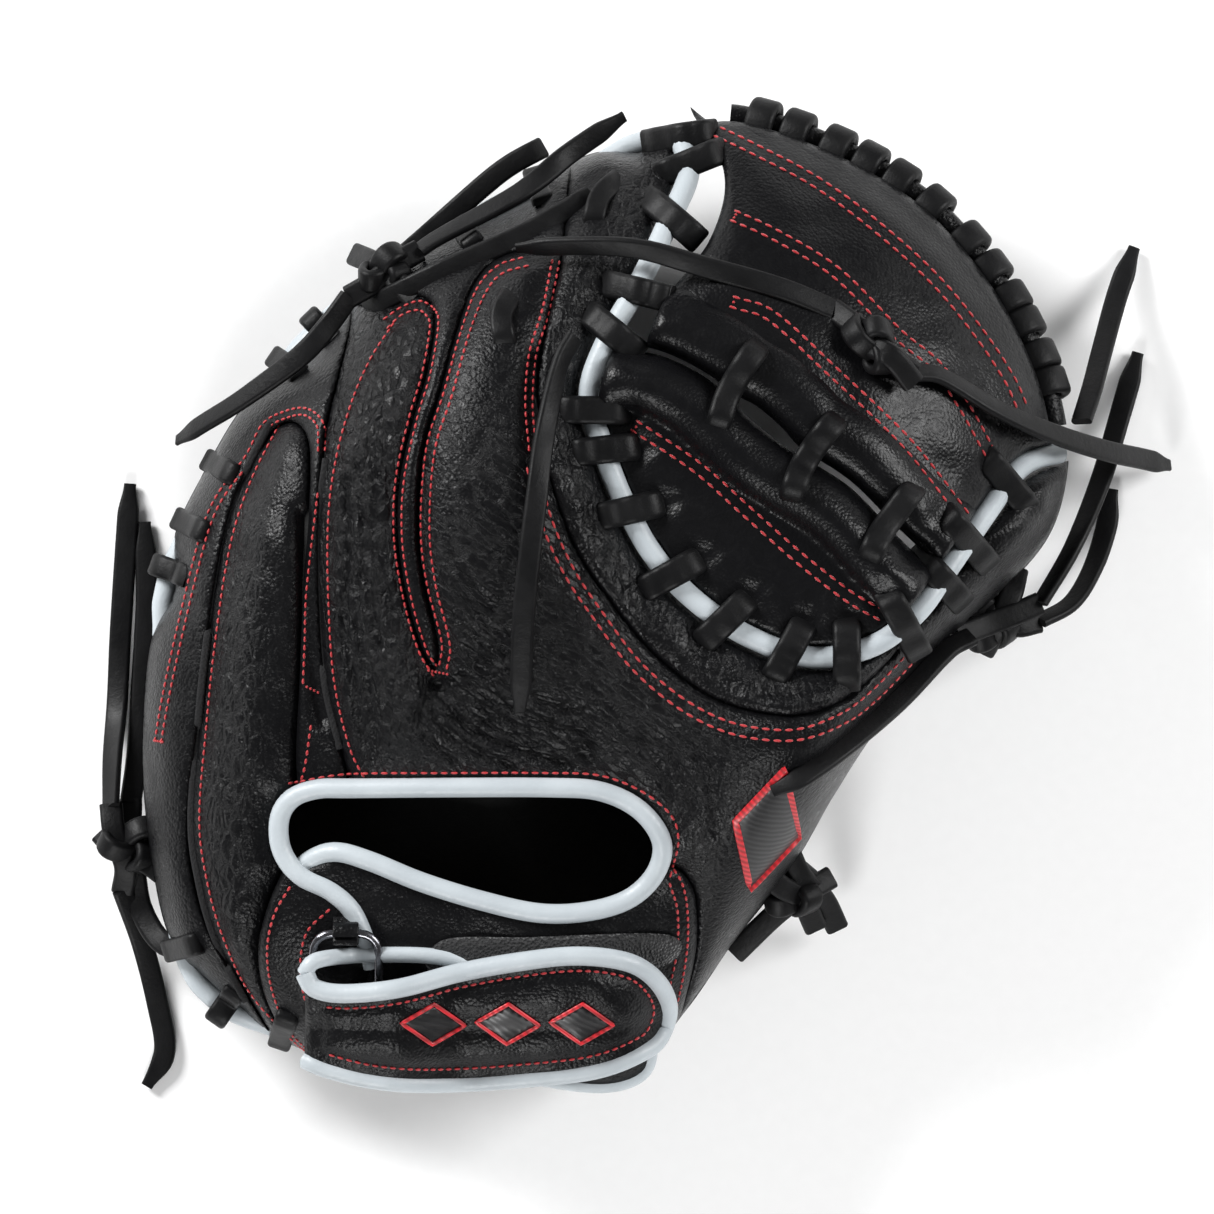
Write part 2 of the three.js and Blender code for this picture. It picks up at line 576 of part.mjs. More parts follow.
// The ring is a rounded rectangle of wire whose top bar turns in its leather tab.
const RING_WIRE = 1.2;
const RING_HALF_WIDTH = 9.5;
const RING_LENGTH = 20;
const RING_CORNER = 5;
const RING_TOP = [-71, -92, 66.5];
const RING_DROP = 6.5; // the lower bar lies this much lower than the top bar
const ringPath = [];
for (const [signX, atTop] of [[1, true], [-1, true], [-1, false], [1, false]]) {
  const centreX = RING_TOP[0] + signX * (RING_HALF_WIDTH - RING_CORNER);
  const centreY = RING_TOP[1] - (atTop ? RING_CORNER : RING_LENGTH - RING_CORNER);
  const start = { '1true': 0, '-1true': 90, '-1false': 180, '1false': 270 }[`${signX}${atTop}`];
  for (const turn of [0, 30, 60, 90]) {
    const angle = THREE.MathUtils.degToRad(start + turn);
    const y = centreY + RING_CORNER * Math.sin(angle);
    const z = RING_TOP[2] - RING_DROP * ((RING_TOP[1] - y) / RING_LENGTH);
    ringPath.push([centreX + RING_CORNER * Math.cos(angle), y, z]);
  }
}
add('d_ring', tube(ringPath, RING_WIRE, { sides: 8, step: 2.6, closed: true }), 'nickel');

const TAB_WIDTH = 7;
const tabShape = roundSection(3.3, 12);
tabShape.holes.push(new THREE.Path(roundSection(2, 10).getPoints().reverse()));
const tabGeometry = new THREE.ExtrudeGeometry(tabShape, { depth: TAB_WIDTH, bevelEnabled: false })
  .rotateY(Math.PI / 2).translate(RING_TOP[0] - TAB_WIDTH / 2, RING_TOP[1], RING_TOP[2]);
add('ring_tab', toSolid(tabGeometry), 'leather');

// Knots of the lacing, each a plain lump.
const KNOTS = {
  index_knot: { centre: [-59, 88, 54], size: [8, 7, 6.5] },
  web_knot: { centre: [72, 67, 79], size: [9, 8, 6] },
  pinky_knot: { centre: [-134.5, -70, 22], size: [7, 10, 8] },
  thumb_tip_knot: { centre: [110, -14, 22], size: [7.5, 7.5, 8] },
  heel_knot: { centre: [56.5, -87.5, 20], size: [7, 7, 8] },
};
for (const [name, { centre, size }] of Object.entries(KNOTS)) {
  add(name, toSolid(new THREE.SphereGeometry(1, 8, 6).scale(...size).translate(...centre)), 'lace');
}

// Free lace tails. Each route starts where the tail leaves its knot or its lacing hole.
const TAILS = {
  index_tail_down: [
    [-69, 80, 53], [-74, 73, 54], [-82, 64, 55], [-98, 52.5, 46], [-109, 46, 37],
    [-116.5, 41.5, 28],
  ],
  index_tail_up: [
    [-50, 92.5, 53], [-44, 96.5, 52], [-22.5, 108.5, 50], [-9, 119.5, 42], [5.5, 129.5, 38],
  ],
  back_tail: [
    [-8, 68, 87], [-12, 60, 90], [-16, 41, 94], [-18, 25, 97], [-20, 8.5, 97.5], [-21.5, -7.5, 95],
    [-22.5, -32, 87],
  ],
  web_tail_left: [
    [61.5, 76, 75], [47.5, 81.5, 78], [26, 87.5, 79.5], [9.5, 92, 80], [-6.5, 93, 77],
    [-23.5, 92.5, 71],
  ],
  web_tail_right: [
    [83, 59, 75], [91, 58, 71], [107, 49, 62], [123, 42.5, 49], [137, 38.5, 33], [148, 36.5, 16],
    [155.5, 35, 4],
  ],
  thumb_tail_top: [[130, 46.5, 36], [133, 55, 29], [136, 65, 20], [141, 81.5, 7], [146, 95, 1.8]],
  thumb_tail_long: [[119, -3, 27], [128, 12, 22], [136, 30, 13], [142, 49, 5], [147, 66, 1.8]],
  thumb_tail_short: [[119, -8, 21], [128, -3, 15], [134, 6, 8], [138, 17, 3], [140, 28.5, 1.8]],
  thumb_tail_back: [
    [100, -12, 38], [93, -16, 42], [80, -29, 56], [66.5, -40, 73], [53, -49.5, 82],
    [45, -53.5, 82.5],
  ],
  pinky_tail_outer: [
    [-135, -59, 20], [-135, -45, 10], [-134, -30, 3], [-133, -8, 1.8], [-130.5, 30, 1.8],
  ],
  pinky_tail_inner: [
    [-130, -58, 12], [-128.5, -45, 5], [-127.5, -29, 1.8], [-126, -2, 1.8], [-126.5, 19.5, 1.8],
  ],
  pinky_tail_low: [
    [-132, -81.5, 15], [-127, -96.5, 6], [-123, -113, 2], [-121, -126.5, 1.8], [-126, -136, 1.8],
  ],
};
for (const [name, route] of Object.entries(TAILS)) {
  add(name, tube(route, TAIL_RADIUS, { sides: 8, step: 8 }), 'lace');
}

export default group;
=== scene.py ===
import math

import bpy
import numpy as np
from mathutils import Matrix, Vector
from mathutils.bvhtree import BVHTree
from mathutils.geometry import delaunay_2d_cdt


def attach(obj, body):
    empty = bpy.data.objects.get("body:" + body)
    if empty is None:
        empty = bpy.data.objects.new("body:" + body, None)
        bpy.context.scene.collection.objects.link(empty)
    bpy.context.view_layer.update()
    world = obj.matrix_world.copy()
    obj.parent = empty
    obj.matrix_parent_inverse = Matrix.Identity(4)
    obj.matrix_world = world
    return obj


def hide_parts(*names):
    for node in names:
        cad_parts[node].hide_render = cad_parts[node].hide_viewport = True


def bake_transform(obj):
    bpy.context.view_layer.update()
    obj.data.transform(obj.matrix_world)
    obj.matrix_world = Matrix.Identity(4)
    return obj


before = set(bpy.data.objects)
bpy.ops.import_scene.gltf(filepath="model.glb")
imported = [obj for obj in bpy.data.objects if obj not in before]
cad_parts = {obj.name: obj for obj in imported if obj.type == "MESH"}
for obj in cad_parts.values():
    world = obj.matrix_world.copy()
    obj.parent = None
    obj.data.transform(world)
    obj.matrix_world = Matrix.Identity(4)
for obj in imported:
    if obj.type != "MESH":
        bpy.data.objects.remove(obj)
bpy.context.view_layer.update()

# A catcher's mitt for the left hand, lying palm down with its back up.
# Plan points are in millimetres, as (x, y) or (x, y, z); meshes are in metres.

MM = 0.001

# ---- Sizes of the mitt's own materials ----

WELT_RADIUS = 3.0
RIM_HEIGHT = 24.0
LEATHER = 2.4
LACE_WIDTH = 6.0
LACE_THICKNESS = 2.3
CROTCH_GAP = 2.6  # each leather edge's distance from the middle of the crotch piping
WEB_THICKNESS = 4.5
WEB_EDGE_HEIGHT = 30.0
WEB_EDGE_RADIUS = 3.6
STRAP_BINDING_RADIUS = 2.6
THREAD_RADIUS = 0.38
GRID = 1.3  # spacing of the points inside a leather panel

# ---- Outline, openings and seams in plan ----

OUTLINE = [
    (18, 128), (-1, 121.5), (-18.5, 113.5), (-40, 102), (-63, 88), (-85, 68), (-99.5, 50.5),
    (-110.5, 31.5), (-119, 13), (-124.5, -13), (-126.5, -43), (-124.5, -70), (-118.5, -98),
    (-107.5, -113), (-90, -122.5), (-68.5, -129), (-41.5, -132), (-14.5, -132.5), (9.5, -128),
    (23, -114), (35.5, -96), (51.5, -75.5), (63.5, -55), (76, -36), (92, -16), (109.5, 0.5),
    (122, 15.5), (127, 33), (126, 49), (120.5, 66.5), (109.5, 87), (93.5, 106), (77, 118),
    (58.5, 127), (39.5, 133), (27.5, 133),
]
CROTCH = [
    (15, 137), (19.5, 125.5), (23, 114), (17, 99), (9.5, 83), (1, 68), (-4, 53), (0, 38), (5, 25),
    (12.5, 11), (23, -1), (38, -11.5), (55.5, -17.5), (72, -14.5), (84, -5.5), (92, 5.5),
    (103, 21), (113, 34), (124, 38), (138, 40),
]
WRIST_OPENING = [
    (-80, -73.5), (-84.5, -73), (-87.2, -68.5), (-87.5, -61), (-83.5, -55), (-76, -53),
    (-41.5, -52.5), (-14.5, -52.5), (-1, -53.5), (9.5, -58.5), (15.5, -67), (14, -75.5), (7, -82.5),
    (-4, -86), (-17.5, -86.5), (-33.5, -83), (-49.5, -78), (-63, -72.5), (-72.5, -70),
]
OPENING_BINDING = [
    (-62.5, -101), (-64.5, -94), (-68, -86), (-74, -80.5), (-82, -76.5), (-87, -69.5), (-87.5, -61),
    (-84, -55.5), (-77, -53), (-68.5, -52.8), (-41.5, -52.5), (-14.5, -52.5), (-1, -53.5),
    (9.5, -58.5), (15.5, -67), (14, -75.5), (7, -82.5), (-4, -86), (-17.5, -86.5), (-33.5, -83),
    (-49.5, -78), (-63, -72.5), (-72.5, -70), (-79.5, -72.5),
    (-84, -77),
]
WEB_LEFT = [
    (21, 142), (24, 131), (28.5, 123.5), (32.2, 115), (32.3, 106), (28.5, 95), (23, 87), (16.5, 79),
    (12.5, 70), (10.5, 64),
]
WEB_GAP_TOP = [
    (-3, 66.5), (12.5, 65.6), (26, 59.8), (35, 53.2), (41, 50), (48, 44), (53, 38.6), (66.5, 29.7),
    (80, 16.4), (92, 5.6), (99, -2.5),
]
WEB_GAP_LOW = [
    (-4, 64.8), (12.5, 64.2), (26, 58.4), (34.5, 51.2), (39, 46.8), (46, 41), (52, 37), (66, 28.2), (79, 15),
    (90, 4.2), (96, -4.5),
]
WEB_BAND = [(21.5, 134), (42, 117), (66.5, 102), (80, 89.5), (93.5, 76), (103, 65.5), (109.5, 53), (118, 40)]
STRAP = [
    (-80.5, -102.5), (-78, -106.5), (-70, -108), (-55, -106.5), (-39, -102.5), (-22.5, -99.5),
    (-6.5, -98), (7, -100), (14.5, -105.5), (17.5, -113), (15, -121), (9.5, -125), (-1, -129),
    (-14.5, -131), (-41.5, -133), (-60.5, -132), (-74, -129), (-80.5, -126.5), (-80.5, -112),
]

# Leather edges; each runs on past the panel that it ends, so that the panels part cleanly.
LITTLE_FINGER_EDGE = [
    (-82, -136), (-95.5, -113), (-107.5, -91.5), (-112.5, -72.5), (-112.5, -56), (-109, -29), (-106, -2),
    (-101.5, 21), (-95.5, 35.5), (-89, 44.5), (-83.5, 46), (-80, 42), (-79, 34), (-79.5, 20), (-81, 0),
    (-82, -24), (-83, -44), (-82, -60),
]
RING_LEFT_EDGE = [
    (-72, 96), (-69, 76), (-71.5, 60), (-75, 44), (-76.8, 19.5), (-76.8, -2), (-75.2, -24), (-71, -41.5),
    (-66, -60),
]
RING_RIGHT_EDGE = [
    (-82, 84), (-66, 78), (-58, 77.5), (-52, 80), (-47, 78.5), (-45.5, 71.5), (-47.5, 58.5), (-51, 46.5),
    (-54.7, 30), (-55.1, 14), (-52.6, -2), (-48.6, -15.5), (-45.2, -21.5), (-44.8, -24),
]
MIDDLE_LEFT_EDGE = [
    (-4, 90), (-13, 92), (-22.5, 92), (-29.5, 89.5), (-35.2, 82.5), (-39.7, 69.5), (-44.2, 53),
    (-48.6, 38.5), (-50, 18), (-48.5, 3), (-44.6, -13), (-45.2, -21.5), (-46.2, -23),
]
ROLL_EDGE = [
    (-8, 130), (-10, 104), (-11.5, 89), (-15, 73.5), (-17.5, 60), (-17.5, 49), (-15, 33), (-8, 12.5),
    (1.5, -2), (12.5, -15.5), (26, -26.5), (38, -31.5), (52, -33), (64, -29), (74, -21), (82, -12),
    (88, -4), (90, 8),
]
BASE_EDGE = [(6, -74), (18, -74), (23.5, -79), (25, -86), (25, -96.5), (22.5, -109), (19, -120), (10, -136)]
TAB_LEFT_EDGE = [
    (-81, -66), (-88, -78), (-91.5, -87), (-93.5, -96.5), (-92.5, -107.5), (-88, -118.5), (-78, -136),
]
CUFF_EDGE = [(-84, -68), (-82, -76.5), (-74, -80.5), (-68, -86), (-64.5, -94), (-62.5, -101), (-62, -136)]

# ---- Stitching rows; a double row has its second line beside the first ----

FINGER_PITCH = 2.25
TACK_PITCH = 1.1
WEB_PITCH = 3.1
DOUBLE = 1.9  # between the two lines of a finger seam
WIDE_DOUBLE = 2.9  # the same on the roll and the web
STITCH_ROWS = [
    # (points, pitch, distance of the second line or 0)
    ([(-122, -40), (-120, -29), (-116.5, -13), (-112, 6), (-106.5, 23.5), (-97, 37), (-92.5, 45.5),
      (-86, 49), (-80, 49.5), (-75.5, 45.5), (-75, 38.5)], FINGER_PITCH, -DOUBLE),
    ([(-88, 45), (-95.5, 30), (-101, 12.5), (-105, -13), (-107.5, -36), (-109.5, -61.5),
      (-107.5, -78), (-103, -94), (-95.5, -110), (-80.5, -126.5)], FINGER_PITCH, 0),
    ([(-77, 26), (-80, 0.5), (-80.5, -13), (-81, -24)], FINGER_PITCH, 0),
    ([(-79, -36.5), (-80.5, -46.5), (-82, -52)], FINGER_PITCH, 0),
    ([(-59, 74), (-54.5, 77), (-49.5, 78.5), (-45.5, 76), (-44.5, 71.5), (-46.5, 58.5), (-50, 46.5),
      (-53.5, 30), (-54, 14), (-51.5, -2), (-47.5, -15.5), (-45, -19.5)], FINGER_PITCH, 0),
    ([(-58, 71.5), (-54.5, 74.7), (-50, 76), (-47.5, 74), (-46.8, 71), (-48.8, 58.5), (-52.3, 46.5),
      (-55.8, 30), (-56.2, 14), (-53.7, -2), (-49.8, -15.5), (-46, -22)], FINGER_PITCH, 0),
    ([(-57, 72), (-63, 62.5), (-68, 50.5), (-72, 35.5), (-74, 19.5), (-74, -2), (-72.5, -24),
      (-68.5, -41.5), (-64, -51)], FINGER_PITCH, 0),
    ([(-22.5, 90), (-28.5, 88), (-34, 82), (-38.5, 69.5), (-43, 53), (-47.5, 38.5), (-49, 18),
      (-47.5, 3), (-43.5, -13), (-44, -19)], FINGER_PITCH, 0),
    ([(-21, 87.7), (-27.5, 85.7), (-31.8, 80.5), (-36.3, 68.8), (-40.8, 52.3), (-45.2, 38), (-46.6, 18),
      (-45.2, 3), (-41.3, -13.5), (-42, -20)], FINGER_PITCH, 0),
    ([(-14, 89), (-16.5, 76), (-20, 64), (-21, 50.5), (-20, 38.5)], FINGER_PITCH, DOUBLE),
    ([(-17.5, 33), (-14, 19.5), (-8, 6), (0, -6), (9.5, -18.5), (20.5, -28), (31.5, -34), (42, -36.5),
      (53, -36.5), (64.5, -32), (72.5, -26), (80, -18.5), (84, -14.5)], WEB_PITCH, -WIDE_DOUBLE),
    ([(28.5, 127.8), (42, 121), (58.5, 112), (74.5, 100), (90.5, 85.5), (103, 70.5), (111, 58.5), (114, 52)],
     WEB_PITCH, -WIDE_DOUBLE),
    ([(36, 102.5), (47.5, 97), (63.5, 87), (80, 70.5), (90.5, 62), (98.5, 50.5), (105, 39)],
     WEB_PITCH, -WIDE_DOUBLE),
    ([(35.5, 79), (46, 75), (62.5, 60), (80, 43.5), (89.5, 32.5), (97.5, 22)], WEB_PITCH, -WIDE_DOUBLE),
    ([(9.5, 45.5), (26, 34.5), (39.5, 22.5), (53, 10.5), (66.5, 0), (74.5, -4.5)], WEB_PITCH, -WIDE_DOUBLE),
    ([(-84.5, -51.5), (-68.5, -49), (-41.5, -48.6), (-14.5, -48.6), (-1, -49.3), (10, -53.5), (18, -60),
      (20, -67), (18, -76)], 2.7, 0),
    ([(17.5, -73), (21, -78.5), (22.5, -86), (22.5, -96.5), (20.5, -109), (17.5, -119.5), (12, -127)],
     FINGER_PITCH, 0),
    ([(17.8, -79), (19.8, -86), (19.8, -96.5), (18, -106)], FINGER_PITCH, 0),
    ([(-85, -80), (-89, -87), (-91, -96.5), (-90, -107.5), (-86, -118.5), (-80.5, -125)], FINGER_PITCH, 0),
    ([(-74.5, -86), (-80, -91.5), (-82, -99.5), (-81.5, -107.5), (-79.5, -115.5)], FINGER_PITCH, 0),
    ([(-47, -21), (-42, -22)], TACK_PITCH, 0),
    ([(-80, -25.5), (-77, -27)], TACK_PITCH, 0),
    ([(-122.3, -40.3), (-119.8, -40.6)], TACK_PITCH, 0),
    ([(-20, 38), (-17.5, 38)], TACK_PITCH, 0),
    ([(36, 102.5), (34.5, 100)], TACK_PITCH, 0),
    ([(35.5, 79), (34, 76.5)], TACK_PITCH, 0),
    ([(9.5, 45.5), (7.7, 43.2)], TACK_PITCH, 0),
]
CUT_EDGES = [
    # (points, how far the edge stands to the left of them)
    ([(-88, 45), (-95.5, 30), (-101, 12.5), (-105, -13), (-107.5, -36), (-109.5, -61.5), (-107.5, -78),
      (-103, -94), (-95.5, -110)], -2.4),
    ([(-72, 35.5), (-74, 19.5), (-74, -2), (-72.5, -24), (-68.5, -41.5)], -2.7),
]
STRAP_ROW_INSET = 4.0
STRAP_ROW_START = -74
RING_ROOM = 10.0  # the strap lies this much higher where the ring is under it

# ---- Folds in the worn leather: (points, depth, half width), with FOLD_DEPTH scaling every depth ----

FOLD_DEPTH = 1.5
FOLDS = [
    ([(-45, -24.5), (-44.2, -28), (-40, -33), (-33, -38.5), (-22, -42.5), (-10, -46)], 2.3, 1.6),
    ([(-43.5, -24.5), (-41.5, -27), (-37, -31.5), (-29, -36.5), (-18, -40.5), (-4, -44)], 1.8, 1.3),
    ([(-40.5, -24.5), (-37, -27.5), (-29, -33), (-18, -37.5), (-4, -41)], 1.6, 1.3),
    ([(-38, -22.5), (-30, -28.5), (-19, -34), (-6, -37.5)], 1.3, 1.2),
    ([(-34, -20), (-26, -25), (-15, -30), (-4, -33)], 1.0, 1.2),
    ([(-47, -24), (-47, -30), (-43, -36.5), (-35, -42.5), (-25, -46.5)], 1.7, 1.5),
    ([(-50, -32), (-47, -39), (-41, -45)], 1.2, 1.3),
    ([(-69, 30), (-68, 10), (-69.5, -8), (-67, -24), (-64.5, -40)], 1.3, 1.3),
    ([(-66, 34), (-64.5, 12), (-66.5, -6), (-63.5, -22), (-61.5, -38)], 1.1, 1.2),
    ([(-62.5, 40), (-61, 20), (-63, 2), (-60, -14)], 0.9, 1.2),
    ([(-59, 44), (-57.5, 26), (-59.5, 8), (-57.5, -6)], 0.6, 1.1),
    ([(-41, 10), (-36, 2), (-30, -4)], 0.7, 1.2),
    ([(-40, 2), (-34, -6), (-27, -12)], 0.8, 1.2),
    ([(-40, -6), (-33, -13), (-25, -18)], 0.8, 1.2),
    ([(-37, -15), (-29, -20), (-20, -24)], 0.9, 1.2),
    ([(10, -40), (16, -50), (20, -62)], 0.9, 2.0),
    ([(15, -39), (21, -49), (24, -58)], 0.8, 1.8),
    ([(20, -38), (26, -47), (29, -56)], 0.7, 1.6),
    ([(26, -42), (30, -52), (30, -64)], 0.7, 1.8),
    ([(-80, 20), (-79, 0), (-78, -20), (-76, -34)], 2.2, 3.0),
    ([(-97, 10), (-99, -20), (-101, -50), (-99, -78)], 0.5, 4.0),
    ([(30, -22), (38, -26), (50, -27), (60, -24)], 0.9, 2.0),
    ([(12, -8), (6, 0), (1, 10)], 0.8, 2.0),
    ([(36, 88), (52, 80), (70, 66), (84, 52)], 0.8, 3.0),
]

# ---- Where the lacing runs ----

CROTCH_WRAPS = [
    (17.5, 122), (22.5, 115.5), (18, 101), (7, 82), (5, 68), (-1, 49.5), (-1.5, 38.5), (5.5, 21),
    (17.5, 4), (31, -9), (48.5, -17), (65, -18), (81.5, -11), (92, 3), (99, 14), (109.5, 30),
]
WRAP_HALF = 9.5
WRAP_HOLE_DEPTH = 4.5
RIM_WRAPS = [
    (-18, 111), (-40, 100), (-62, 86.5), (-77.5, 73), (-87, 62.5), (-107, 35.5), (-114, 20), (-119, 6.5),
    (-118, -98.5), (-103, -112), (-88.5, -120.5),
]
EDGE_WRAPS = [
    (44.5, 130), (53, 126), (63.5, 122.5), (73, 118.5), (82.5, 113.5), (91.5, 106.5), (100, 96.5),
    (106.5, 89), (112, 81), (117, 73.5), (120.5, 64.5), (123.5, 56.5),
]
WEB_SPIRALS = [
    [(41.5, 66), (37.5, 60.5), (33, 52.5), (30.5, 44.5)],
    [(62.4, 46.5), (57.5, 40.5), (52.5, 32.5), (50, 25)],
    [(83.2, 28), (79, 22.5), (74, 15.5), (71, 9)],
]
LAID_LACES = [
    [(-54, 92), (-42, 103), (-28, 115), (-17, 121.5)],
    [(-64, 77), (-44, 86.5), (-20, 97.5), (-4, 107)],
    [(-3, 100), (-1, 107), (4, 112)],
    [(-25, 80), (-27.5, 74), (-26.5, 66.5)],
]
KNOTS = {
    # node: (body, centre, half size, turn about Z in degrees, the lace runs that the knot ties together)
    "index_knot": ("mitt_body", (-59, 87, 53), (9.5, 6.5, 5.5), 35, [
        [(-50, 92.5, 52), (-56, 89, 54), (-62, 84, 55), (-69, 80, 52)],
        [(-68, 92, 36), (-62, 89, 50), (-56, 84, 56), (-51, 79, 59)]]),
    "web_knot": ("mitt_body", (72, 67, 79), (11.5, 6.5, 5.5), 122, [
        [(61.5, 76, 74), (68, 71, 79), (76, 64, 79), (83, 59, 74)],
        [(66, 62, 70), (70, 66, 79), (77, 63, 83), (83, 56, 79)]]),
    "pinky_knot": ("mitt_body", (-129, -69, 19), (11.5, 9.0, 6.0), 8, [
        [(-135, -58, 19), (-134, -66, 21), (-131, -75, 19), (-132, -82, 14)],
        [(-130, -57, 11), (-129, -66, 15), (-120, -71, 23), (-112, -70, 27)],
        [(-129, -76, 14), (-127, -87, 12), (-121, -96, 16), (-113, -97, 24)],
        [(-138, -66, 14), (-133, -71, 17), (-125, -74, 21), (-117, -80, 22)]]),
    "thumb_tip_knot": ("thumb_side", (106, -9, 23), (10.0, 8.0, 6.0), 55, [
        [(119, -3, 26), (112, -6, 28), (104, -9, 30), (96, -12, 36)],
        [(119, -8, 20), (112, -9, 24), (104, -4, 27), (97, 1, 32)],
        [(104, -16, 18), (107, -10, 26), (111, -1, 27), (113, 6, 20)]]),
    "heel_knot": ("thumb_side", (52, -82, 24), (10.5, 8.0, 6.0), 40, [
        [(41, -74, 38), (48, -80, 32), (54, -84, 24), (58, -92, 14)],
        [(62, -78, 20), (55, -82, 25), (47, -88, 20), (36, -99, 10)],
        [(50, -70, 32), (54, -78, 28), (60, -84, 18), (64, -92, 8)]]),
}
UP = (0, 0, 1)
TAILS = {
    # node: (body, points, the way the face looks at each point)
    "index_tail_down": ("mitt_body", [
        (-69, 80, 53), (-74, 73, 54), (-82, 64, 55), (-98, 52.5, 46), (-109, 46, 37), (-116.5, 41.5, 28)],
        [(0.3, -0.6, 1), (0.2, -0.3, 1), (0, 0.2, 1), (-0.5, 0.5, 1), (-0.6, 0.6, 1), (-0.6, 0.6, 1)]),
    "index_tail_up": ("mitt_body", [
        (-50, 92.5, 53), (-44, 96.5, 52), (-22.5, 108.5, 50), (-9, 119.5, 42), (5.5, 129.5, 38)],
        [(-0.5, 0.8, 0.6), (-0.5, 0.8, 0.7), (-0.3, 0.6, 1), (0.2, -0.3, 1), (0.4, -0.5, 1)]),
    "back_tail": ("mitt_body", [
        (-8, 68, 87), (-12, 60, 90), (-16, 41, 94), (-18, 25, 97), (-20, 8.5, 97.5), (-21.5, -7.5, 95),
        (-22.5, -32, 87)],
        [(0.8, 0, 0.6), (0.8, 0, 0.6), (0.5, 0, 1), (0.2, 0, 1), (0, 0, 1), (-0.1, 0, 1), (0, 0, 1)]),
    "web_tail_left": ("mitt_body", [
        (61.5, 76, 75), (47.5, 81.5, 78), (26, 87.5, 79.5), (9.5, 92, 80), (-6.5, 93, 77),
        (-23.5, 92.5, 71)],
        [(0, 0.5, 1), (0, 0.3, 1), (0, -0.4, 1), (0, -0.7, 1), (0, -0.8, 0.8), (0, -0.8, 0.8)]),
    "web_tail_right": ("thumb_side", [
        (83, 59, 75), (91, 58, 71), (107, 49, 62), (123, 42.5, 49), (137, 38.5, 33), (148, 36.5, 16),
        (155.5, 35, 4)],
        [(0.3, 0.8, 0.6), (0.3, 0.8, 0.7), (0.3, 0.7, 0.8), (0.4, 0.4, 1), (0.5, 0.2, 1), (0.7, 0.2, 0.8),
         (0.8, 0.2, 0.6)]),
    "thumb_tail_top": ("thumb_side", [
        (130, 46.5, 36), (133, 55, 29), (136, 65, 20), (141, 81.5, 7), (146, 95, 1.8)],
        [(-0.5, 0.5, 1), (-0.3, 0.3, 1), (-0.3, 0.3, 1), (-0.1, 0.1, 1), (0, 0, 1)]),
    "thumb_tail_long": ("thumb_side", [
        (119, -3, 27), (128, 12, 22), (136, 30, 13), (142, 49, 5), (147, 66, 1.8)],
        [(-0.7, 0.7, 0.5), (-0.7, 0.5, 0.7), (-0.4, 0.2, 1), (-0.2, 0.1, 1), (0, 0, 1)]),
    "thumb_tail_short": ("thumb_side", [
        (119, -8, 21), (128, -3, 15), (134, 6, 8), (138, 17, 3), (140, 28.5, 1.8)],
        [(-0.5, 0.8, 0.7), (-0.5, 0.7, 0.8), (-0.6, 0.3, 1), (-0.2, 0, 1), (0, 0, 1)]),
    "thumb_tail_back": ("thumb_side", [
        (100, -12, 38), (93, -16, 42), (80, -29, 56), (66.5, -40, 73), (53, -49.5, 82), (45, -53.5, 82.5)],
        [(-0.4, 0.5, 1), (-0.3, 0.5, 1), (-0.1, 0.3, 1), (0, 0.4, 1), (0, 0.4, 1), (0, 0.2, 1)]),
    "pinky_tail_outer": ("mitt_body", [
        (-135, -59, 20), (-135, -45, 10), (-134, -30, 3), (-133, -8, 1.8), (-130.5, 30, 1.8)],
        [(-0.8, 0.3, 0.6), (-0.6, 0.5, 0.8), (-0.3, 0.3, 1), (0, 0, 1), (0, 0, 1)]),
    "pinky_tail_inner": ("mitt_body", [
        (-130, -58, 12), (-128.5, -45, 5), (-127.5, -29, 1.8), (-126, -2, 1.8), (-126.5, 19.5, 1.8)],
        [(0.2, 0.5, 1), (0.2, 0.3, 1), (0, 0, 1), (0, 0, 1), (0, 0, 1)]),
    "pinky_tail_low": ("mitt_body", [
        (-132, -81.5, 15), (-127, -96.5, 6), (-123, -113, 2), (-121, -126.5, 1.8), (-126, -136, 1.8)],
        [(0.5, -0.5, 1), (0.3, -0.3, 1), (0, 0, 1), (0, 0, 1), (0, 0, 1)]),
}

# ---- The rim, the ring, the pad and the leather's creases ----

EDGE_HEIGHT = RIM_HEIGHT + 2.2
PIPING_SHOWS = [(-78, 71, 14), (-27, 108, 12), (-122, 2, 9), (-104, -108, 14), (10, 125, 8)]
CREASE_SLANT = -0.62
RING_TOP = (-69.6, -92, 66.5)
RING_HALF_WIDTH = 8.8
RING_LENGTH = 20
RING_CORNER = 5
RING_DROP = 6.5
PAD_AREA = [
    (-14, 96), (-48, 76), (-74, 56), (-94, 28), (-102, -10), (-102, -50), (-97, -86), (-80, -102),
    (-40, -112), (5, -108), (20, -94), (38, -68), (54, -48), (67, -36), (82, -20), (78, -12),
    (66, -20), (52, -26), (30, -20), (12, -4), (-2, 14), (-11, 34), (-15, 54), (-9, 72), (0, 90),
]
PALM_LEATHER_THICKNESS = 3.0
LINING_THICKNESS = 1.2

# ---- Camera and lights ----

CAMERA_AT = (0.0008, -0.004, 3.0)
FIELD = 0.3278  # width seen at the height of the mitt's back
BACK_HEIGHT = 0.06
LIGHTS = {
    # name: (place, size, power)
    "key": ((-1.35, 1.15, 0.95), 0.7, 62.0),
    "fill": ((1.55, 0.5, 0.9), 0.7, 30.0),
    "low": ((-0.3, -1.6, 0.95), 0.7, 24.0),
}

# ---- Small helpers for plans and heights ----


def smooth(start, end, value):
    t = np.clip((value - start) / (end - start), 0, 1)
    return t * t * (3 - 2 * t)


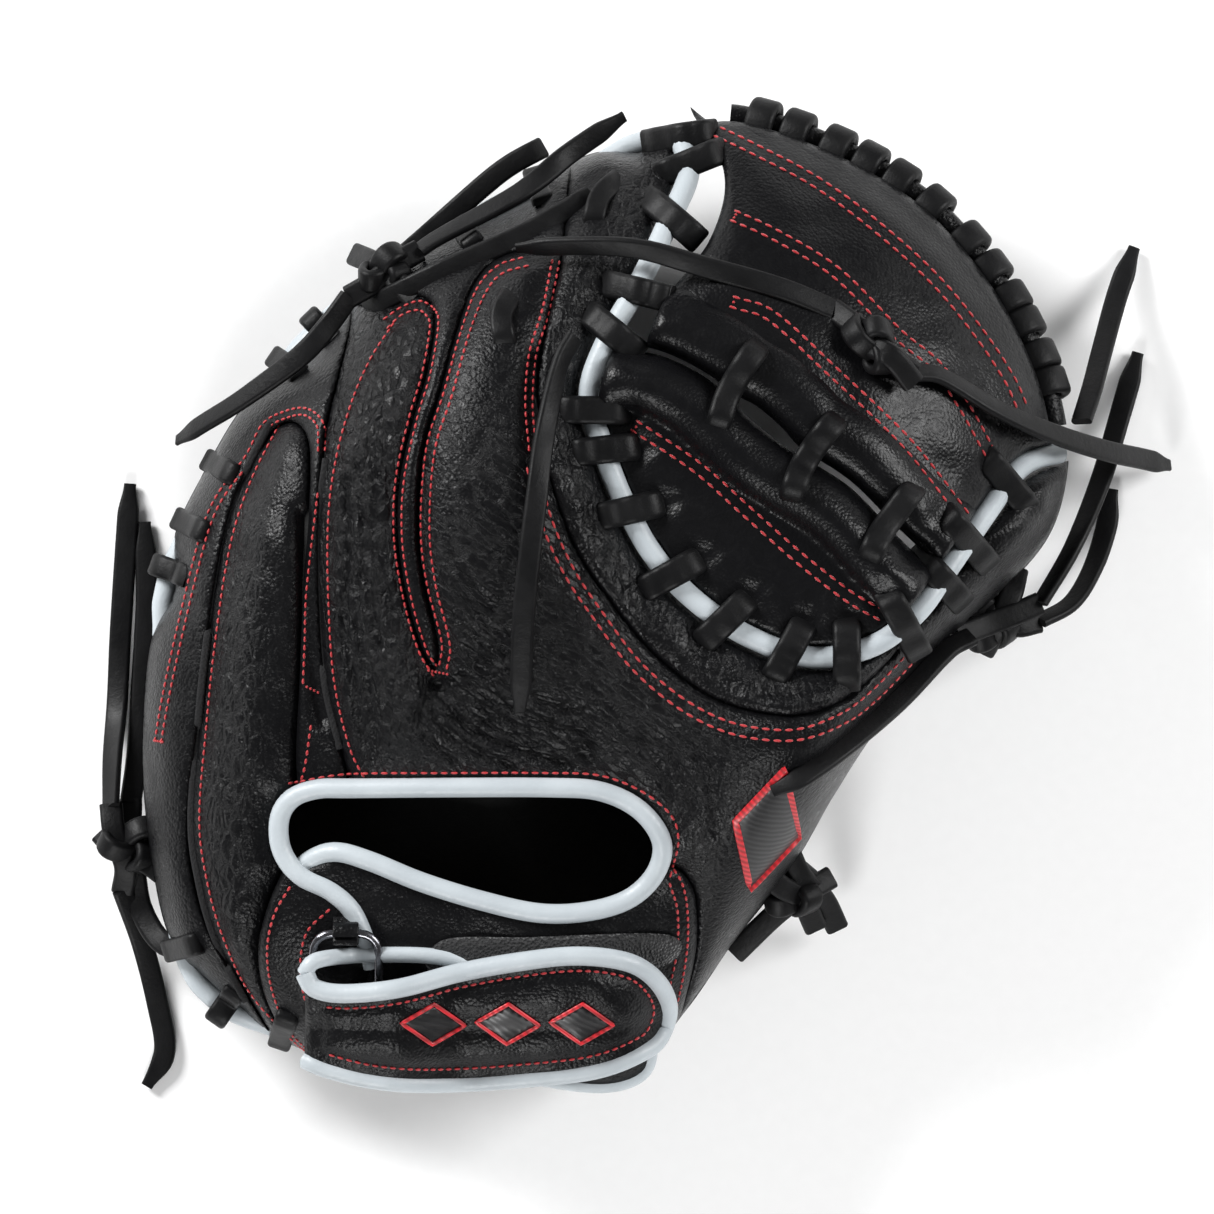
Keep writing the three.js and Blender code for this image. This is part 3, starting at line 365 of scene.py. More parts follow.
def mix(a, b, t):
    return a + (b - a) * t


def round_off(value):
    """A quarter circle: 0 at 0, and 1 from 1 on."""
    t = 1 - np.clip(value, 0, 1)
    return np.sqrt(1 - t * t)


def bump(p, centre_x, centre_y, half_x, half_y):
    return np.exp(-((p[:, 0] - centre_x) / half_x) ** 2 - ((p[:, 1] - centre_y) / half_y) ** 2)


def smooth_line(points, step=1.6, closed=False):
    """A smooth curve through the points, with new points evenly spaced along it."""
    pts = np.array(points, float)
    if closed:
        around = np.vstack([pts[-1:], pts, pts[:2]])
    else:
        around = np.vstack([2 * pts[0] - pts[1], pts, 2 * pts[-1] - pts[-2]])
    t = np.linspace(0, 1, 10, endpoint=False)[:, None]
    stretches = []
    for i in range(len(around) - 3):
        p0, p1, p2, p3 = around[i:i + 4]
        stretches.append(0.5 * (2 * p1 + (p2 - p0) * t + (2 * p0 - 5 * p1 + 4 * p2 - p3) * t ** 2
                                + (3 * p1 - p0 - 3 * p2 + p3) * t ** 3))
    dense = np.vstack(stretches + [pts[:1] if closed else pts[-1:]])
    along = np.concatenate([[0], np.cumsum(np.linalg.norm(np.diff(dense, axis=0), axis=1))])
    count = max(2, round(along[-1] / step))
    at = np.linspace(0, along[-1], count + 1)
    if closed:
        at = at[:-1]
    return np.stack([np.interp(at, along, dense[:, k]) for k in range(pts.shape[1])], axis=1)


def segments(line, closed=False):
    a = line[:, :2]
    b = np.roll(a, -1, axis=0)
    return (a, b) if closed else (a[:-1], b[:-1])


def distance(p, a, b):
    """Distance from each plan point to the nearest of the segments from a to b."""
    ab = b - a
    squared = np.maximum((ab ** 2).sum(1), 1e-12)
    best = np.empty(len(p))
    block = 4000
    for start in range(0, len(p), block):
        q = p[start:start + block, None, :]
        t = np.clip(((q - a) * ab).sum(2) / squared, 0, 1)
        dx = q[..., 0] - a[:, 0] - t * ab[:, 0]
        dy = q[..., 1] - a[:, 1] - t * ab[:, 1]
        best[start:start + block] = np.sqrt((dx * dx + dy * dy).min(1))
    return best


def inside(p, loop):
    result = np.zeros(len(p), bool)
    a, b = segments(loop, True)
    for (ax, ay), (bx, by) in zip(a, b):
        if ay == by:
            continue
        crosses = ((ay > p[:, 1]) != (by > p[:, 1]))
        crosses &= p[:, 0] < (bx - ax) * (p[:, 1] - ay) / (by - ay) + ax
        result ^= crosses
    return result


def beside(line, step, closed=False):
    """The line moved sideways, to the left of its direction of travel."""
    xy = line[:, :2]
    if closed:
        along = np.roll(xy, -1, axis=0) - np.roll(xy, 1, axis=0)
    else:
        along = np.gradient(xy, axis=0)
    along = along / np.linalg.norm(along, axis=1)[:, None]
    moved = line.copy()
    moved[:, 0] -= along[:, 1] * step
    moved[:, 1] += along[:, 0] * step
    return moved


outline = smooth_line(OUTLINE, 4, True)
crotch = smooth_line(CROTCH, 4)
opening = smooth_line(WRIST_OPENING, 2, True)
outline_segments = segments(outline, True)
crotch_segments = segments(crotch)
web_top_edge = np.array([
    q for q in outline if q[0] > 24 and (q[0] - 24) * 0.9 + q[1] - 30 > 60 and q[1] > 34])
web_top_segments = segments(web_top_edge)


def inset(p):
    d = distance(p, *outline_segments)
    return np.where(inside(p, outline), d, -d)


def crotch_height(p):
    reach = np.clip(distance(p, *web_top_segments) / 75, 0, 1)
    return 30 + 48 * (1 - (1 - reach) ** 2)


def thumb_share(p):
    return smooth(10, 70, p[:, 0])


def crown(p):
    return 60 + 34 * bump(p, -28, 20, 62, 80) + 26 * bump(p, 62, -38, 42, 45)


def edge_inset(p):
    """How far the leather's edge lies inside the outline: more where the rim piping shows."""
    shows = np.zeros(len(p))
    for x, y, size in PIPING_SHOWS:
        shows = np.maximum(shows, bump(p, x, y, size, size))
    return 0.3 + 4.0 * np.clip(shows * 1.4, 0, 1)


def back_height(p):
    """The height of the mitt's back, before its panels, seams and folds are worked in."""
    shoulder = mix(40, 20, thumb_share(p))
    rise = round_off((inset(p) - edge_inset(p)) / shoulder)
    body = EDGE_HEIGHT + (crown(p) - EDGE_HEIGHT) * rise
    low = np.minimum(body, crotch_height(p) - 0.5)
    near = round_off((distance(p, *crotch_segments) - 3) / mix(17, 13, thumb_share(p)))
    return mix(low, body, near)


fold_segments = [(segments(smooth_line(points, 3)), depth, width) for points, depth, width in FOLDS]


def folds(p):
    total = np.zeros(len(p))
    for ends, depth, width in fold_segments:
        total -= FOLD_DEPTH * depth * np.exp(-(distance(p, *ends) / width) ** 2)
    return total


def palm_height(p):
    thumb = thumb_share(p)
    d = inset(p)
    rim = (RIM_HEIGHT - 2) * (1 - round_off((d - edge_inset(p)) / mix(22, 13, thumb)))
    pocket = mix(46, 50, thumb) * smooth(mix(36, 16, thumb), mix(96, 34, thumb), d)
    body = np.maximum(rim, pocket)
    target = np.minimum(crotch_height(p) - 5, back_height(p) - 9)
    near = 1 - smooth(4, mix(40, 24, thumb), distance(p, *crotch_segments))
    return np.maximum(np.minimum(mix(body, np.maximum(body, target), near), np.maximum(target, rim)), 0)


# ---- Colours and materials ----


def linear(hex_colour):
    """An sRGB hex colour as linear RGBA."""
    parts = [int(hex_colour[i:i + 2], 16) / 255 for i in (1, 3, 5)]
    return tuple(c / 12.92 if c <= 0.04045 else ((c + 0.055) / 1.055) ** 2.4 for c in parts) + (1.0,)


def node(tree, kind, settings=None, **inputs):
    """Adds a node with its settings, and links or sets its inputs; _0 as a name means the first socket."""
    made = tree.nodes.new(kind)
    for key, value in (settings or {}).items():
        setattr(made, key, value)
    for key, value in inputs.items():
        socket = made.inputs[int(key[1:])] if key[0] == "_" else made.inputs[key.replace("_", " ")]
        if isinstance(value, bpy.types.NodeSocket):
            tree.links.new(value, socket)
        else:
            socket.default_value = value
    return made


def start_material(name, **values):
    material = bpy.data.materials.new(name)
    material.use_nodes = True
    tree = material.node_tree
    shader = tree.nodes["Principled BSDF"]
    for key, value in values.items():
        shader.inputs[key.replace("_", " ")].default_value = value
    place = node(tree, "ShaderNodeTexCoord").outputs["Object"]
    return material, tree, shader, place


def between(tree, factor, low, high):
    """A colour that runs from low to high as factor goes from 0 to 1."""
    mixed = node(tree, "ShaderNodeMix", {"data_type": "RGBA"}, _0=factor)
    mixed.inputs[6].default_value = linear(low)
    mixed.inputs[7].default_value = linear(high)
    return mixed.outputs[2]


def spread(tree, value, low, high, new_low, new_high):
    mapped = node(tree, "ShaderNodeMapRange", None, _0=value, _1=low, _2=high, _3=new_low, _4=new_high)
    return mapped.outputs[0]


def per_metre(millimetres):
    return 1 / (millimetres * MM)


def noise(tree, place, size, detail, **more):
    """Cloudy noise with blotches of about the size in mm."""
    return node(tree, "ShaderNodeTexNoise", None, Vector=place, Scale=per_metre(size), Detail=detail, **more)


def colour(tree, shader, factor, dark, light):
    tree.links.new(between(tree, factor, dark, light), shader.inputs["Base Color"])


def roughness(tree, shader, value, low, high, start=0.3, end=0.7):
    tree.links.new(spread(tree, value, start, end, low, high), shader.inputs["Roughness"])


def relief(tree, shader, height, strength, depth):
    """Raises the surface by up to depth metres."""
    raised = node(tree, "ShaderNodeBump", None, Strength=strength, Distance=depth, Height=height)
    tree.links.new(raised.outputs[0], shader.inputs["Normal"])


def leather_material(name, dark, light, grain, pebble, wrinkle, gloss):
    """Full-grain cowhide, tanned and dyed through, then pressed: soft sheen broken by the grain's pebbles,
    with fine creases where the hide was pulled. grain is the pebbles' size in mm. The panel's own
    'gathered' attribute adds the long wrinkles of leather that was drawn up lengthwise, and 'slanted' the
    fine parallel creases of a hand that closes."""
    material, tree, shader, place = start_material(name, IOR=1.45, Roughness=gloss)
    shader.inputs["Specular IOR Level"].default_value = 0.19
    cells = node(tree, "ShaderNodeTexVoronoi", {"feature": "SMOOTH_F1"}, Vector=place,
                 Scale=per_metre(grain), Smoothness=0.35)
    creased = noise(tree, place, 5.0, 6.0, Roughness=0.66, Distortion=1.6)
    pulled_place = node(tree, "ShaderNodeVectorMath", {"operation": "MULTIPLY_ADD"}, _0=creased.outputs[1],
                        _1=(0.0022, 0.0022, 0.0022), _2=place)
    long_way = node(tree, "ShaderNodeMapping", None, Vector=pulled_place.outputs[0], Rotation=(0, 0, -0.12),
                    Scale=(1, 0.45, 0.6))
    net = node(tree, "ShaderNodeTexVoronoi", {"feature": "DISTANCE_TO_EDGE"}, Vector=long_way.outputs[0],
               Scale=per_metre(2.6))
    drawn = spread(tree, net.outputs[0], 0.0, 0.22, 0.0, 1.0)
    gathered = node(tree, "ShaderNodeAttribute", {"attribute_name": "gathered"}).outputs["Fac"]
    tone = noise(tree, place, 26, 3.0)
    colour(tree, shader, tone.outputs[0], dark, light)
    roughness(tree, shader, creased.outputs[0], gloss - 0.07, gloss + 0.1)
    first = node(tree, "ShaderNodeBump", None, Strength=wrinkle, Distance=0.0010, Height=creased.outputs[0])
    slant_way = node(tree, "ShaderNodeMapping", {"vector_type": "TEXTURE"}, Vector=pulled_place.outputs[0],
                     Rotation=(0, 0, CREASE_SLANT), Scale=(4.5, 1, 1))
    slants = node(tree, "ShaderNodeTexVoronoi", {"feature": "DISTANCE_TO_EDGE"}, Vector=slant_way.outputs[0],
                  Scale=per_metre(2.2))
    slanted = node(tree, "ShaderNodeAttribute", {"attribute_name": "slanted"}).outputs["Fac"]
    creases = spread(tree, slants.outputs[0], 0.0, 0.16, 0.0, 1.0)
    slant_depth = node(tree, "ShaderNodeMath", {"operation": "MULTIPLY"}, _0=slanted, _1=creases)
    depth = node(tree, "ShaderNodeMath", {"operation": "MULTIPLY_ADD"}, _0=gathered, _1=drawn,
                 _2=slant_depth.outputs[0])
    second = node(tree, "ShaderNodeBump", None, Strength=0.75, Distance=0.0009, Height=depth.outputs[0],
                  Normal=first.outputs[0])
    third = node(tree, "ShaderNodeBump", {"invert": True}, Strength=pebble, Distance=0.00035,
                 Height=cells.outputs[0], Normal=second.outputs[0])
    tree.links.new(third.outputs[0], shader.inputs["Normal"])
    return material


def lace_material():
    """Rawhide lace: leather cut into strips and waxed, so it is a little glossier than the panels and has
    a fibrous grain and dry scuffs."""
    material, tree, shader, place = start_material("waxed_rawhide_lace", IOR=1.5)
    shader.inputs["Specular IOR Level"].default_value = 0.16
    fibre = noise(tree, place, 1.6, 6.0, Roughness=0.65)
    scuff = noise(tree, place, 9, 4.0)
    colour(tree, shader, scuff.outputs[0], "#070708", "#101011")
    roughness(tree, shader, scuff.outputs[0], 0.4, 0.56)
    relief(tree, shader, fibre.outputs[0], 0.4, 0.0004)
    return material


def piping_material():
    """Pale grey split leather rolled over a cord: smooth, painted finish with faint cross wrinkles."""
    material, tree, shader, place = start_material("pale_grey_rolled_piping", IOR=1.48)
    cloudy = noise(tree, place, 12, 4.0)
    fine = noise(tree, place, 1.1, 3.0)
    colour(tree, shader, cloudy.outputs[0], "#9ba2a7", "#b6bdc1")
    roughness(tree, shader, fine.outputs[0], 0.38, 0.52)
    relief(tree, shader, fine.outputs[0], 0.25, 0.0004)
    return material


def thread_material():
    """Bonded nylon thread, twisted from three plies: bright red with a silky sheen."""
    material, tree, shader, place = start_material(
        "red_bonded_nylon_thread", IOR=1.53, Sheen_Weight=0.3, Sheen_Roughness=0.4)
    ply = noise(tree, place, 0.5, 2.0)
    colour(tree, shader, ply.outputs[0], "#7d0b13", "#c41a24")
    roughness(tree, shader, ply.outputs[0], 0.45, 0.65)
    return material


def embroidery_material(name, dark, light):
    """Rayon satin stitch: closely laid threads in fine bands of relief and gloss, whose light and dark in
    the base colour is a painted sheen. The bands are drawn 0.7 mm apart, coarser than real thread, so that
    they show."""
    material, tree, shader, place = start_material(name, IOR=1.5, Sheen_Weight=0.1, Sheen_Roughness=0.35)
    bands = node(tree, "ShaderNodeTexWave", {"wave_type": "BANDS", "bands_direction": "DIAGONAL"},
                 Vector=place, Scale=per_metre(0.7) / 6.3, Distortion=1.5, Detail=2.0)
    # painted sheen: the base colour runs from dark to light across the thread bands
    colour(tree, shader, bands.outputs[1], dark, light)
    roughness(tree, shader, bands.outputs[1], 0.5, 0.36, 0, 1)
    relief(tree, shader, bands.outputs[1], 0.12, 0.0003)
    return material


def loop_tape_material():
    """Woven nylon loop tape: a deep pile of tiny loops that swallows light and sparkles a little."""
    material, tree, shader, place = start_material(
        "nylon_loop_tape", IOR=1.53, Sheen_Weight=0.15, Sheen_Roughness=0.5)
    pile = node(tree, "ShaderNodeTexVoronoi", None, Vector=place, Scale=per_metre(0.9))
    tuft = noise(tree, place, 0.6, 3.0)
    colour(tree, shader, tuft.outputs[0], "#060607", "#18181a")
    roughness(tree, shader, tuft.outputs[0], 0.7, 0.95)
    relief(tree, shader, pile.outputs[0], 1.0, 0.001)
    return material


def nickel_material():
    """Steel wire bent and welded, plated with dark nickel: mirror-like with fine polishing scratches."""
    material, tree, shader, place = start_material("dark_nickel_plate", Metallic=1.0)
    scratch = noise(tree, place, 2, 6.0)
    colour(tree, shader, scratch.outputs[0], "#57575b", "#8b8b90")
    roughness(tree, shader, scratch.outputs[0], 0.16, 0.32)
    return material


def felt_material():
    """Pressed wool felt, cut in layers: a matted, fuzzy, undyed pad."""
    material, tree, shader, place = start_material(
        "pressed_wool_felt", IOR=1.5, Sheen_Weight=0.4, Sheen_Roughness=0.6)
    fibre = noise(tree, place, 1.4, 6.0)
    colour(tree, shader, fibre.outputs[0], "#8f8778", "#c6bfb0")
    roughness(tree, shader, fibre.outputs[0], 0.85, 1.0)
    relief(tree, shader, fibre.outputs[0], 0.6, 0.0008)
    return material


def floor_material():
    """Matt white painted board with a barely visible roller texture."""
    material, tree, shader, place = start_material("matt_white_board", Roughness=0.9, IOR=1.45)
    shader.inputs["Specular IOR Level"].default_value = 0.1
    grain = noise(tree, place, 4, 3.0)
    colour(tree, shader, grain.outputs[0], "#f6f6f6", "#fafafa")
    return material


BLACK_LEATHER = leather_material("pebbled_black_cowhide", "#08080a", "#0f0f10", 0.95, 0.5, 0.35, 0.3)
WEB_LEATHER = leather_material("smooth_black_web_cowhide", "#08080a", "#0f0f10", 0.9, 0.3, 0.14, 0.3)
# painted highlight: the raw cut edges are matte like real fibres, but coloured lighter than the panels to
# stand in for the light they catch
CUT_EDGE_WITH_HIGHLIGHT = leather_material("raw_cut_edge_with_painted_highlight", "#161617", "#262627", 0.7, 0.5, 0.3, 0.75)
PALM_LEATHER = leather_material("firm_black_palm_leather", "#101011", "#1a1a1b", 0.8, 0.3, 0.2, 0.46)
LINING_LEATHER = leather_material("soft_black_lining", "#141414", "#1e1e1e", 0.7, 0.3, 0.4, 0.75)
LACE = lace_material()
PIPING = piping_material()
THREAD = thread_material()
BLACK_SATIN = embroidery_material("black_satin_embroidery", "#050506", "#121214")
RED_SATIN = embroidery_material("red_satin_embroidery", "#8a0c14", "#c9222c")
LOOP_TAPE = loop_tape_material()
NICKEL = nickel_material()
FELT = felt_material()

# ---- Making pieces ----


def settle(obj, body, nodes=()):
    """Puts a finished piece on its body, or bakes its placement into its mesh where body is 'fold'."""
    if body == "fold":
        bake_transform(obj)
    else:
        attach(obj, body)
    if nodes:
        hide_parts(*nodes)
    return obj


def new_object(name, vertices, faces, material, edges=(), attributes=None):
    """vertices are in millimetres."""
    mesh = bpy.data.meshes.new(name)
    mesh.from_pydata((np.asarray(vertices, float) * MM).tolist(), list(edges), [tuple(f) for f in faces])
    for key, values in (attributes or {}).items():
        values = np.asarray(values, np.float32)
        kind, field = ("FLOAT_VECTOR", "vector") if values.ndim == 2 else ("FLOAT", "value")
        mesh.attributes.new(key, kind, "POINT").data.foreach_set(field, values.ravel())
    obj = bpy.data.objects.new(name, mesh)
    bpy.context.scene.collection.objects.link(obj)
    if material:
        mesh.materials.append(material)
    mesh.shade_smooth()
    return obj


def apply_modifiers(obj):
    """Turns the evaluated object into its plain mesh."""
    graph = bpy.context.evaluated_depsgraph_get()
    made = bpy.data.meshes.new_from_object(obj.evaluated_get(graph), depsgraph=graph)
    obj.modifiers.clear()
    old = obj.data
    obj.data = made
    bpy.data.meshes.remove(old)
    made.name = obj.name
    return obj


def new_tree(name, sizes):
    tree = bpy.data.node_groups.new(name, "GeometryNodeTree")
    tree.interface.new_socket("Geometry", in_out="INPUT", socket_type="NodeSocketGeometry")
    tree.interface.new_socket("Geometry", in_out="OUTPUT", socket_type="NodeSocketGeometry")
    for size in sizes:
        tree.interface.new_socket(size, in_out="INPUT", socket_type="NodeSocketFloat")
    tree.interface.new_socket("Material", in_out="INPUT", socket_type="NodeSocketMaterial")
    return tree, tree.nodes.new("NodeGroupInput")


def end_tree(tree, geometry, given):
    whole = node(tree, "GeometryNodeRealizeInstances", None, Geometry=geometry)
    shaded = node(tree, "GeometryNodeSetShadeSmooth", None, Geometry=whole.outputs[0])
    finished = node(tree, "GeometryNodeSetMaterial", None, Geometry=shaded.outputs[0],
                    Material=given.outputs["Material"])
    out = tree.nodes.new("NodeGroupOutput")
    tree.links.new(finished.outputs[0], out.inputs[0])
    return tree


def stitch_tree():
    """Grains of thread, one for each pitch along the sewn lines."""
    tree, given = new_tree("sewn_rows", ["Pitch", "Radius", "Half Length"])
    line = node(tree, "GeometryNodeMeshToCurve", None, Mesh=given.outputs["Geometry"])
    spots = node(tree, "GeometryNodeCurveToPoints", {"mode": "LENGTH"}, Curve=line.outputs[0],
                 Length=given.outputs["Pitch"])
    ball = node(tree, "GeometryNodeMeshUVSphere", None, Segments=6, Rings=5, Radius=1.0)
    scale = node(tree, "ShaderNodeCombineXYZ", None, X=given.outputs["Radius"], Y=given.outputs["Radius"],
                 Z=given.outputs["Half Length"])
    grain = node(tree, "GeometryNodeTransform", None, Geometry=ball.outputs[0], Scale=scale.outputs[0])
    copies = node(tree, "GeometryNodeInstanceOnPoints", None, Points=spots.outputs["Points"],
                  Instance=grain.outputs[0], Rotation=spots.outputs["Rotation"])
    return end_tree(tree, copies.outputs[0], given)


def piping_tree():
    """A round cord along each line."""
    tree, given = new_tree("rolled_piping", ["Radius", "Step"])
    line = node(tree, "GeometryNodeMeshToCurve", None, Mesh=given.outputs["Geometry"])
    even = node(tree, "GeometryNodeResampleCurve", {"mode": "LENGTH"}, Curve=line.outputs[0],
                Length=given.outputs["Step"])
    ring = node(tree, "GeometryNodeCurvePrimitiveCircle", None, Resolution=14,
                Radius=given.outputs["Radius"])
    tube = node(tree, "GeometryNodeCurveToMesh", None, Curve=even.outputs[0], Profile_Curve=ring.outputs[0],
                Fill_Caps=True)
    return end_tree(tree, tube.outputs[0], given)


def lace_tree():
    """A flat lace with rounded edges along each line; the line's 'up' is the way its face looks."""
    tree, given = new_tree("flat_lace", ["Width", "Thickness"])
    line = node(tree, "GeometryNodeMeshToCurve", None, Mesh=given.outputs["Geometry"])
    up = node(tree, "GeometryNodeInputNamedAttribute", {"data_type": "FLOAT_VECTOR"}, Name="up")
    swell = node(tree, "GeometryNodeInputNamedAttribute", {"data_type": "FLOAT"}, Name="swell")
    turned = node(tree, "GeometryNodeSetCurveNormal", {"mode": "FREE"}, Curve=line.outputs[0],
                  Normal=up.outputs[0])
    strip = node(tree, "GeometryNodeCurvePrimitiveQuadrilateral", None, Width=given.outputs["Thickness"],
                 Height=given.outputs["Width"])
    corner = node(tree, "ShaderNodeMath", {"operation": "MULTIPLY"}, _0=given.outputs["Thickness"], _1=0.42)
    rounded = node(tree, "GeometryNodeFilletCurve", {"mode": "POLY"}, Curve=strip.outputs[0], Count=3,
                   Radius=corner.outputs[0], Limit_Radius=True)
    ribbon = node(tree, "GeometryNodeCurveToMesh", None, Curve=turned.outputs[0],
                  Profile_Curve=rounded.outputs[0], Scale=swell.outputs[0], Fill_Caps=True)
    return end_tree(tree, ribbon.outputs[0], given)


STITCHES = stitch_tree()
ROUND_PIPING = piping_tree()
FLAT_LACE = lace_tree()


def grow(name, tree, lines, material, sizes, closed=False):
    """Runs a tree over lines, each (points, {attribute: values}), and leaves a plain mesh."""
    vertices = np.vstack([points for points, _ in lines])
    edges = []
    base = 0
    for points, _ in lines:
        count = len(points)
        edges += [(base + i, base + i + 1) for i in range(count - 1)]
        if closed:
            edges.append((base + count - 1, base))
        base += count
    keys = lines[0][1].keys()
    attributes = {key: np.concatenate([values[key] for _, values in lines]) for key in keys}
    obj = new_object(name, vertices, [], None, edges, attributes)
    modifier = obj.modifiers.new("grow", "NODES")
    modifier.node_group = tree
    for item in tree.interface.items_tree:
        if item.in_out == "INPUT" and item.name in sizes:
            modifier[item.identifier] = sizes[item.name] * MM
        if item.in_out == "INPUT" and item.name == "Material":
            modifier[item.identifier] = material
    return apply_modifiers(obj)


def lace_line(points, ups, taper=False, step=1.5):
    """A lace's line with the way it faces at each given point, ready for the lace tree."""
    points = np.asarray(points, float)
    line = smooth_line(points, step)
    ups = np.asarray(ups, float)
    if ups.ndim == 1:
        ups = np.tile(ups, (len(points), 1))
    at = np.concatenate([[0], np.cumsum(np.linalg.norm(np.diff(points, axis=0), axis=1))])
    steps = np.linspace(0, at[-1], len(line))
    up = np.stack([np.interp(steps, at, ups[:, k]) for k in range(3)], axis=1)
    along = np.gradient(line, axis=0)
    along /= np.linalg.norm(along, axis=1)[:, None]
    up -= (up * along).sum(1)[:, None] * along
    up /= np.linalg.norm(up, axis=1)[:, None]
    swell = np.ones(len(line))
    if taper:
        swell *= 0.55 + 0.45 * smooth(0, 9, steps[-1] - steps)
    return line, {"up": up, "swell": swell}


def laces(name, lines, width=LACE_WIDTH, thickness=LACE_THICKNESS):
    return grow(name, FLAT_LACE, lines, LACE, {"Width": width, "Thickness": thickness})


def piping(name, points, radius, material=None, closed=False):
    sizes = {"Radius": radius, "Step": 1.6}
    return grow(name, ROUND_PIPING, [(points, {})], material or PIPING, sizes, closed)


# ---- Camera, looking straight down on the mitt's back ----


camera = bpy.data.cameras.new("camera")
camera.sensor_width = 36
camera.lens = 36 * (CAMERA_AT[2] - BACK_HEIGHT) / FIELD
camera_object = bpy.data.objects.new("camera", camera)
camera_object.location = CAMERA_AT
bpy.context.scene.collection.objects.link(camera_object)
bpy.context.scene.camera = camera_object

# ---- Free lace tails ----


def free_tails():
    for name, (body, points, ups) in TAILS.items():
        line, attributes = lace_line(points, ups, taper=True)
        obj = laces(f"{name}_lace", [(line, attributes)])
        settle(obj, body, [name])


free_tails()

# ---- Leather panels, cut from one plan ----


def cut_plan(lines, step, extra=()):
    """Triangles over the plan, cut along the lines. Returns points, triangles and each triangle's part."""
    points = []
    edges = []
    spans = []
    for line, closed in lines:
        base = len(points)
        count = len(line)
        points += line[:, :2].tolist()
        edges += [(base + i, base + i + 1) for i in range(count - 1)]
        if closed:
            edges.append((base + count - 1, base))
        spans.append(segments(line, closed))
    a = np.vstack([s[0] for s in spans])
    b = np.vstack([s[1] for s in spans])
    fixed = np.array(points)
    low, high = fixed.min(0), fixed.max(0)
    rows = np.arange(low[1], high[1], step * math.sqrt(3) / 2)
    grid = []
    for i, y in enumerate(rows):
        xs = np.arange(low[0] + (step / 2 if i % 2 else 0), high[0], step)
        grid.append(np.stack([xs, np.full(len(xs), y)], axis=1))
    grid = np.vstack(grid + [np.asarray(e)[:, :2] for e in extra])
    grid = grid[distance(grid, a, b) > 0.45 * step]
    everything = [Vector(q) for q in points] + [Vector(q) for q in grid.tolist()]
    coords, out_edges, faces, _, edge_ids, _ = delaunay_2d_cdt(everything, edges, [], 0, 1e-5, True)
    walls = {tuple(sorted(e)) for e, ids in zip(out_edges, edge_ids) if ids}
    sides = {}
    for index, face in enumerate(faces):
        for i in range(3):
            key = tuple(sorted((face[i], face[(i + 1) % 3])))
            if key not in walls:
                sides.setdefault(key, []).append(index)
    beside_face = [[] for _ in faces]
    for pair in sides.values():
        if len(pair) == 2:
            beside_face[pair[0]].append(pair[1])
            beside_face[pair[1]].append(pair[0])
    part = [-1] * len(faces)
    count = 0
    for index in range(len(faces)):
        if part[index] >= 0:
            continue
        waiting = [index]
        part[index] = count
        while waiting:
            for other in beside_face[waiting.pop()]:
                if part[other] < 0:
                    part[other] = count
                    waiting.append(other)
        count += 1
    return np.array([c[:] for c in coords]), np.array(faces), np.array(part)


def part_at(plan, probe):
    """The part of the plan that holds the probe point, as (points, triangles)."""
    coords, faces, part = plan
    a, b, c = (coords[faces[:, i]] for i in range(3))
    p = np.array(probe, float)

    def turn(u, v):
        return (v[:, 0] - u[:, 0]) * (p[1] - u[:, 1]) - (v[:, 1] - u[:, 1]) * (p[0] - u[:, 0])

    t1, t2, t3 = turn(a, b), turn(b, c), turn(c, a)
    holds = ((t1 >= 0) & (t2 >= 0) & (t3 >= 0)) | ((t1 <= 0) & (t2 <= 0) & (t3 <= 0))
    chosen = faces[part == part[np.flatnonzero(holds)[0]]]
    used, chosen = np.unique(chosen, return_inverse=True)
    return coords[used], chosen.reshape(-1, 3)


def rim_edges(faces):
    """The directed edges round a flat set of triangles."""
    pairs = np.vstack([faces[:, [0, 1]], faces[:, [1, 2]], faces[:, [2, 0]]])
    keys = {}
    for u, v in pairs.tolist():
        keys[(u, v)] = keys.get((u, v), 0) + 1
    return [(u, v) for (u, v) in keys if (v, u) not in keys]


def closed_layer(name, points, faces, top, bottom, material, worn_in=None):
    """A closed solid between two heights over a flat set of triangles."""
    corner = points[faces[:, 0]]
    u = points[faces[:, 1]] - corner
    v = points[faces[:, 2]] - corner
    turn = u[:, 0] * v[:, 1] - u[:, 1] * v[:, 0]
    faces = np.where(turn[:, None] < 0, faces[:, ::-1], faces)
    count = len(points)
    vertices = np.vstack([np.column_stack([points, top]), np.column_stack([points, bottom])])
    walls = [(v, u, u + count, v + count) for u, v in rim_edges(faces)]
    every = [tuple(f) for f in faces.tolist()] + [tuple(f[::-1]) for f in (faces + count).tolist()] + walls
    attributes = {key: np.concatenate([values, values]) for key, values in (worn_in or {}).items()}
    return new_object(name, vertices, every, material, attributes=attributes)


def edge_distance(points, faces):
    pairs = np.array(rim_edges(faces))
    return distance(points, points[pairs[:, 0]], points[pairs[:, 1]])


back_meshes = []


def leather_panel(name, plan, probe, height, body, nodes, lift=0.0, puff=2.5, reach=12.0,
                  thickness=LEATHER, extra=None, gather=None, material=None):
    """One panel of the back: it bellies between its edges, and its edges are rounded."""
    points, faces = part_at(plan, probe)
    d = edge_distance(points, faces)
    top = height(points) + lift
    top -= puff * (1 - np.clip(d / reach, 0, 1)) ** 2
    top -= 1.1 * (1 - round_off(d / 1.3))
    if extra:
        top += extra(points, d)
    worn_in = gather(points) if gather else None
    obj = closed_layer(name, points, faces, top, top - thickness, material or BLACK_LEATHER, worn_in)
    back_meshes.append((np.column_stack([points, top]), faces))
    settle(obj, body, nodes)


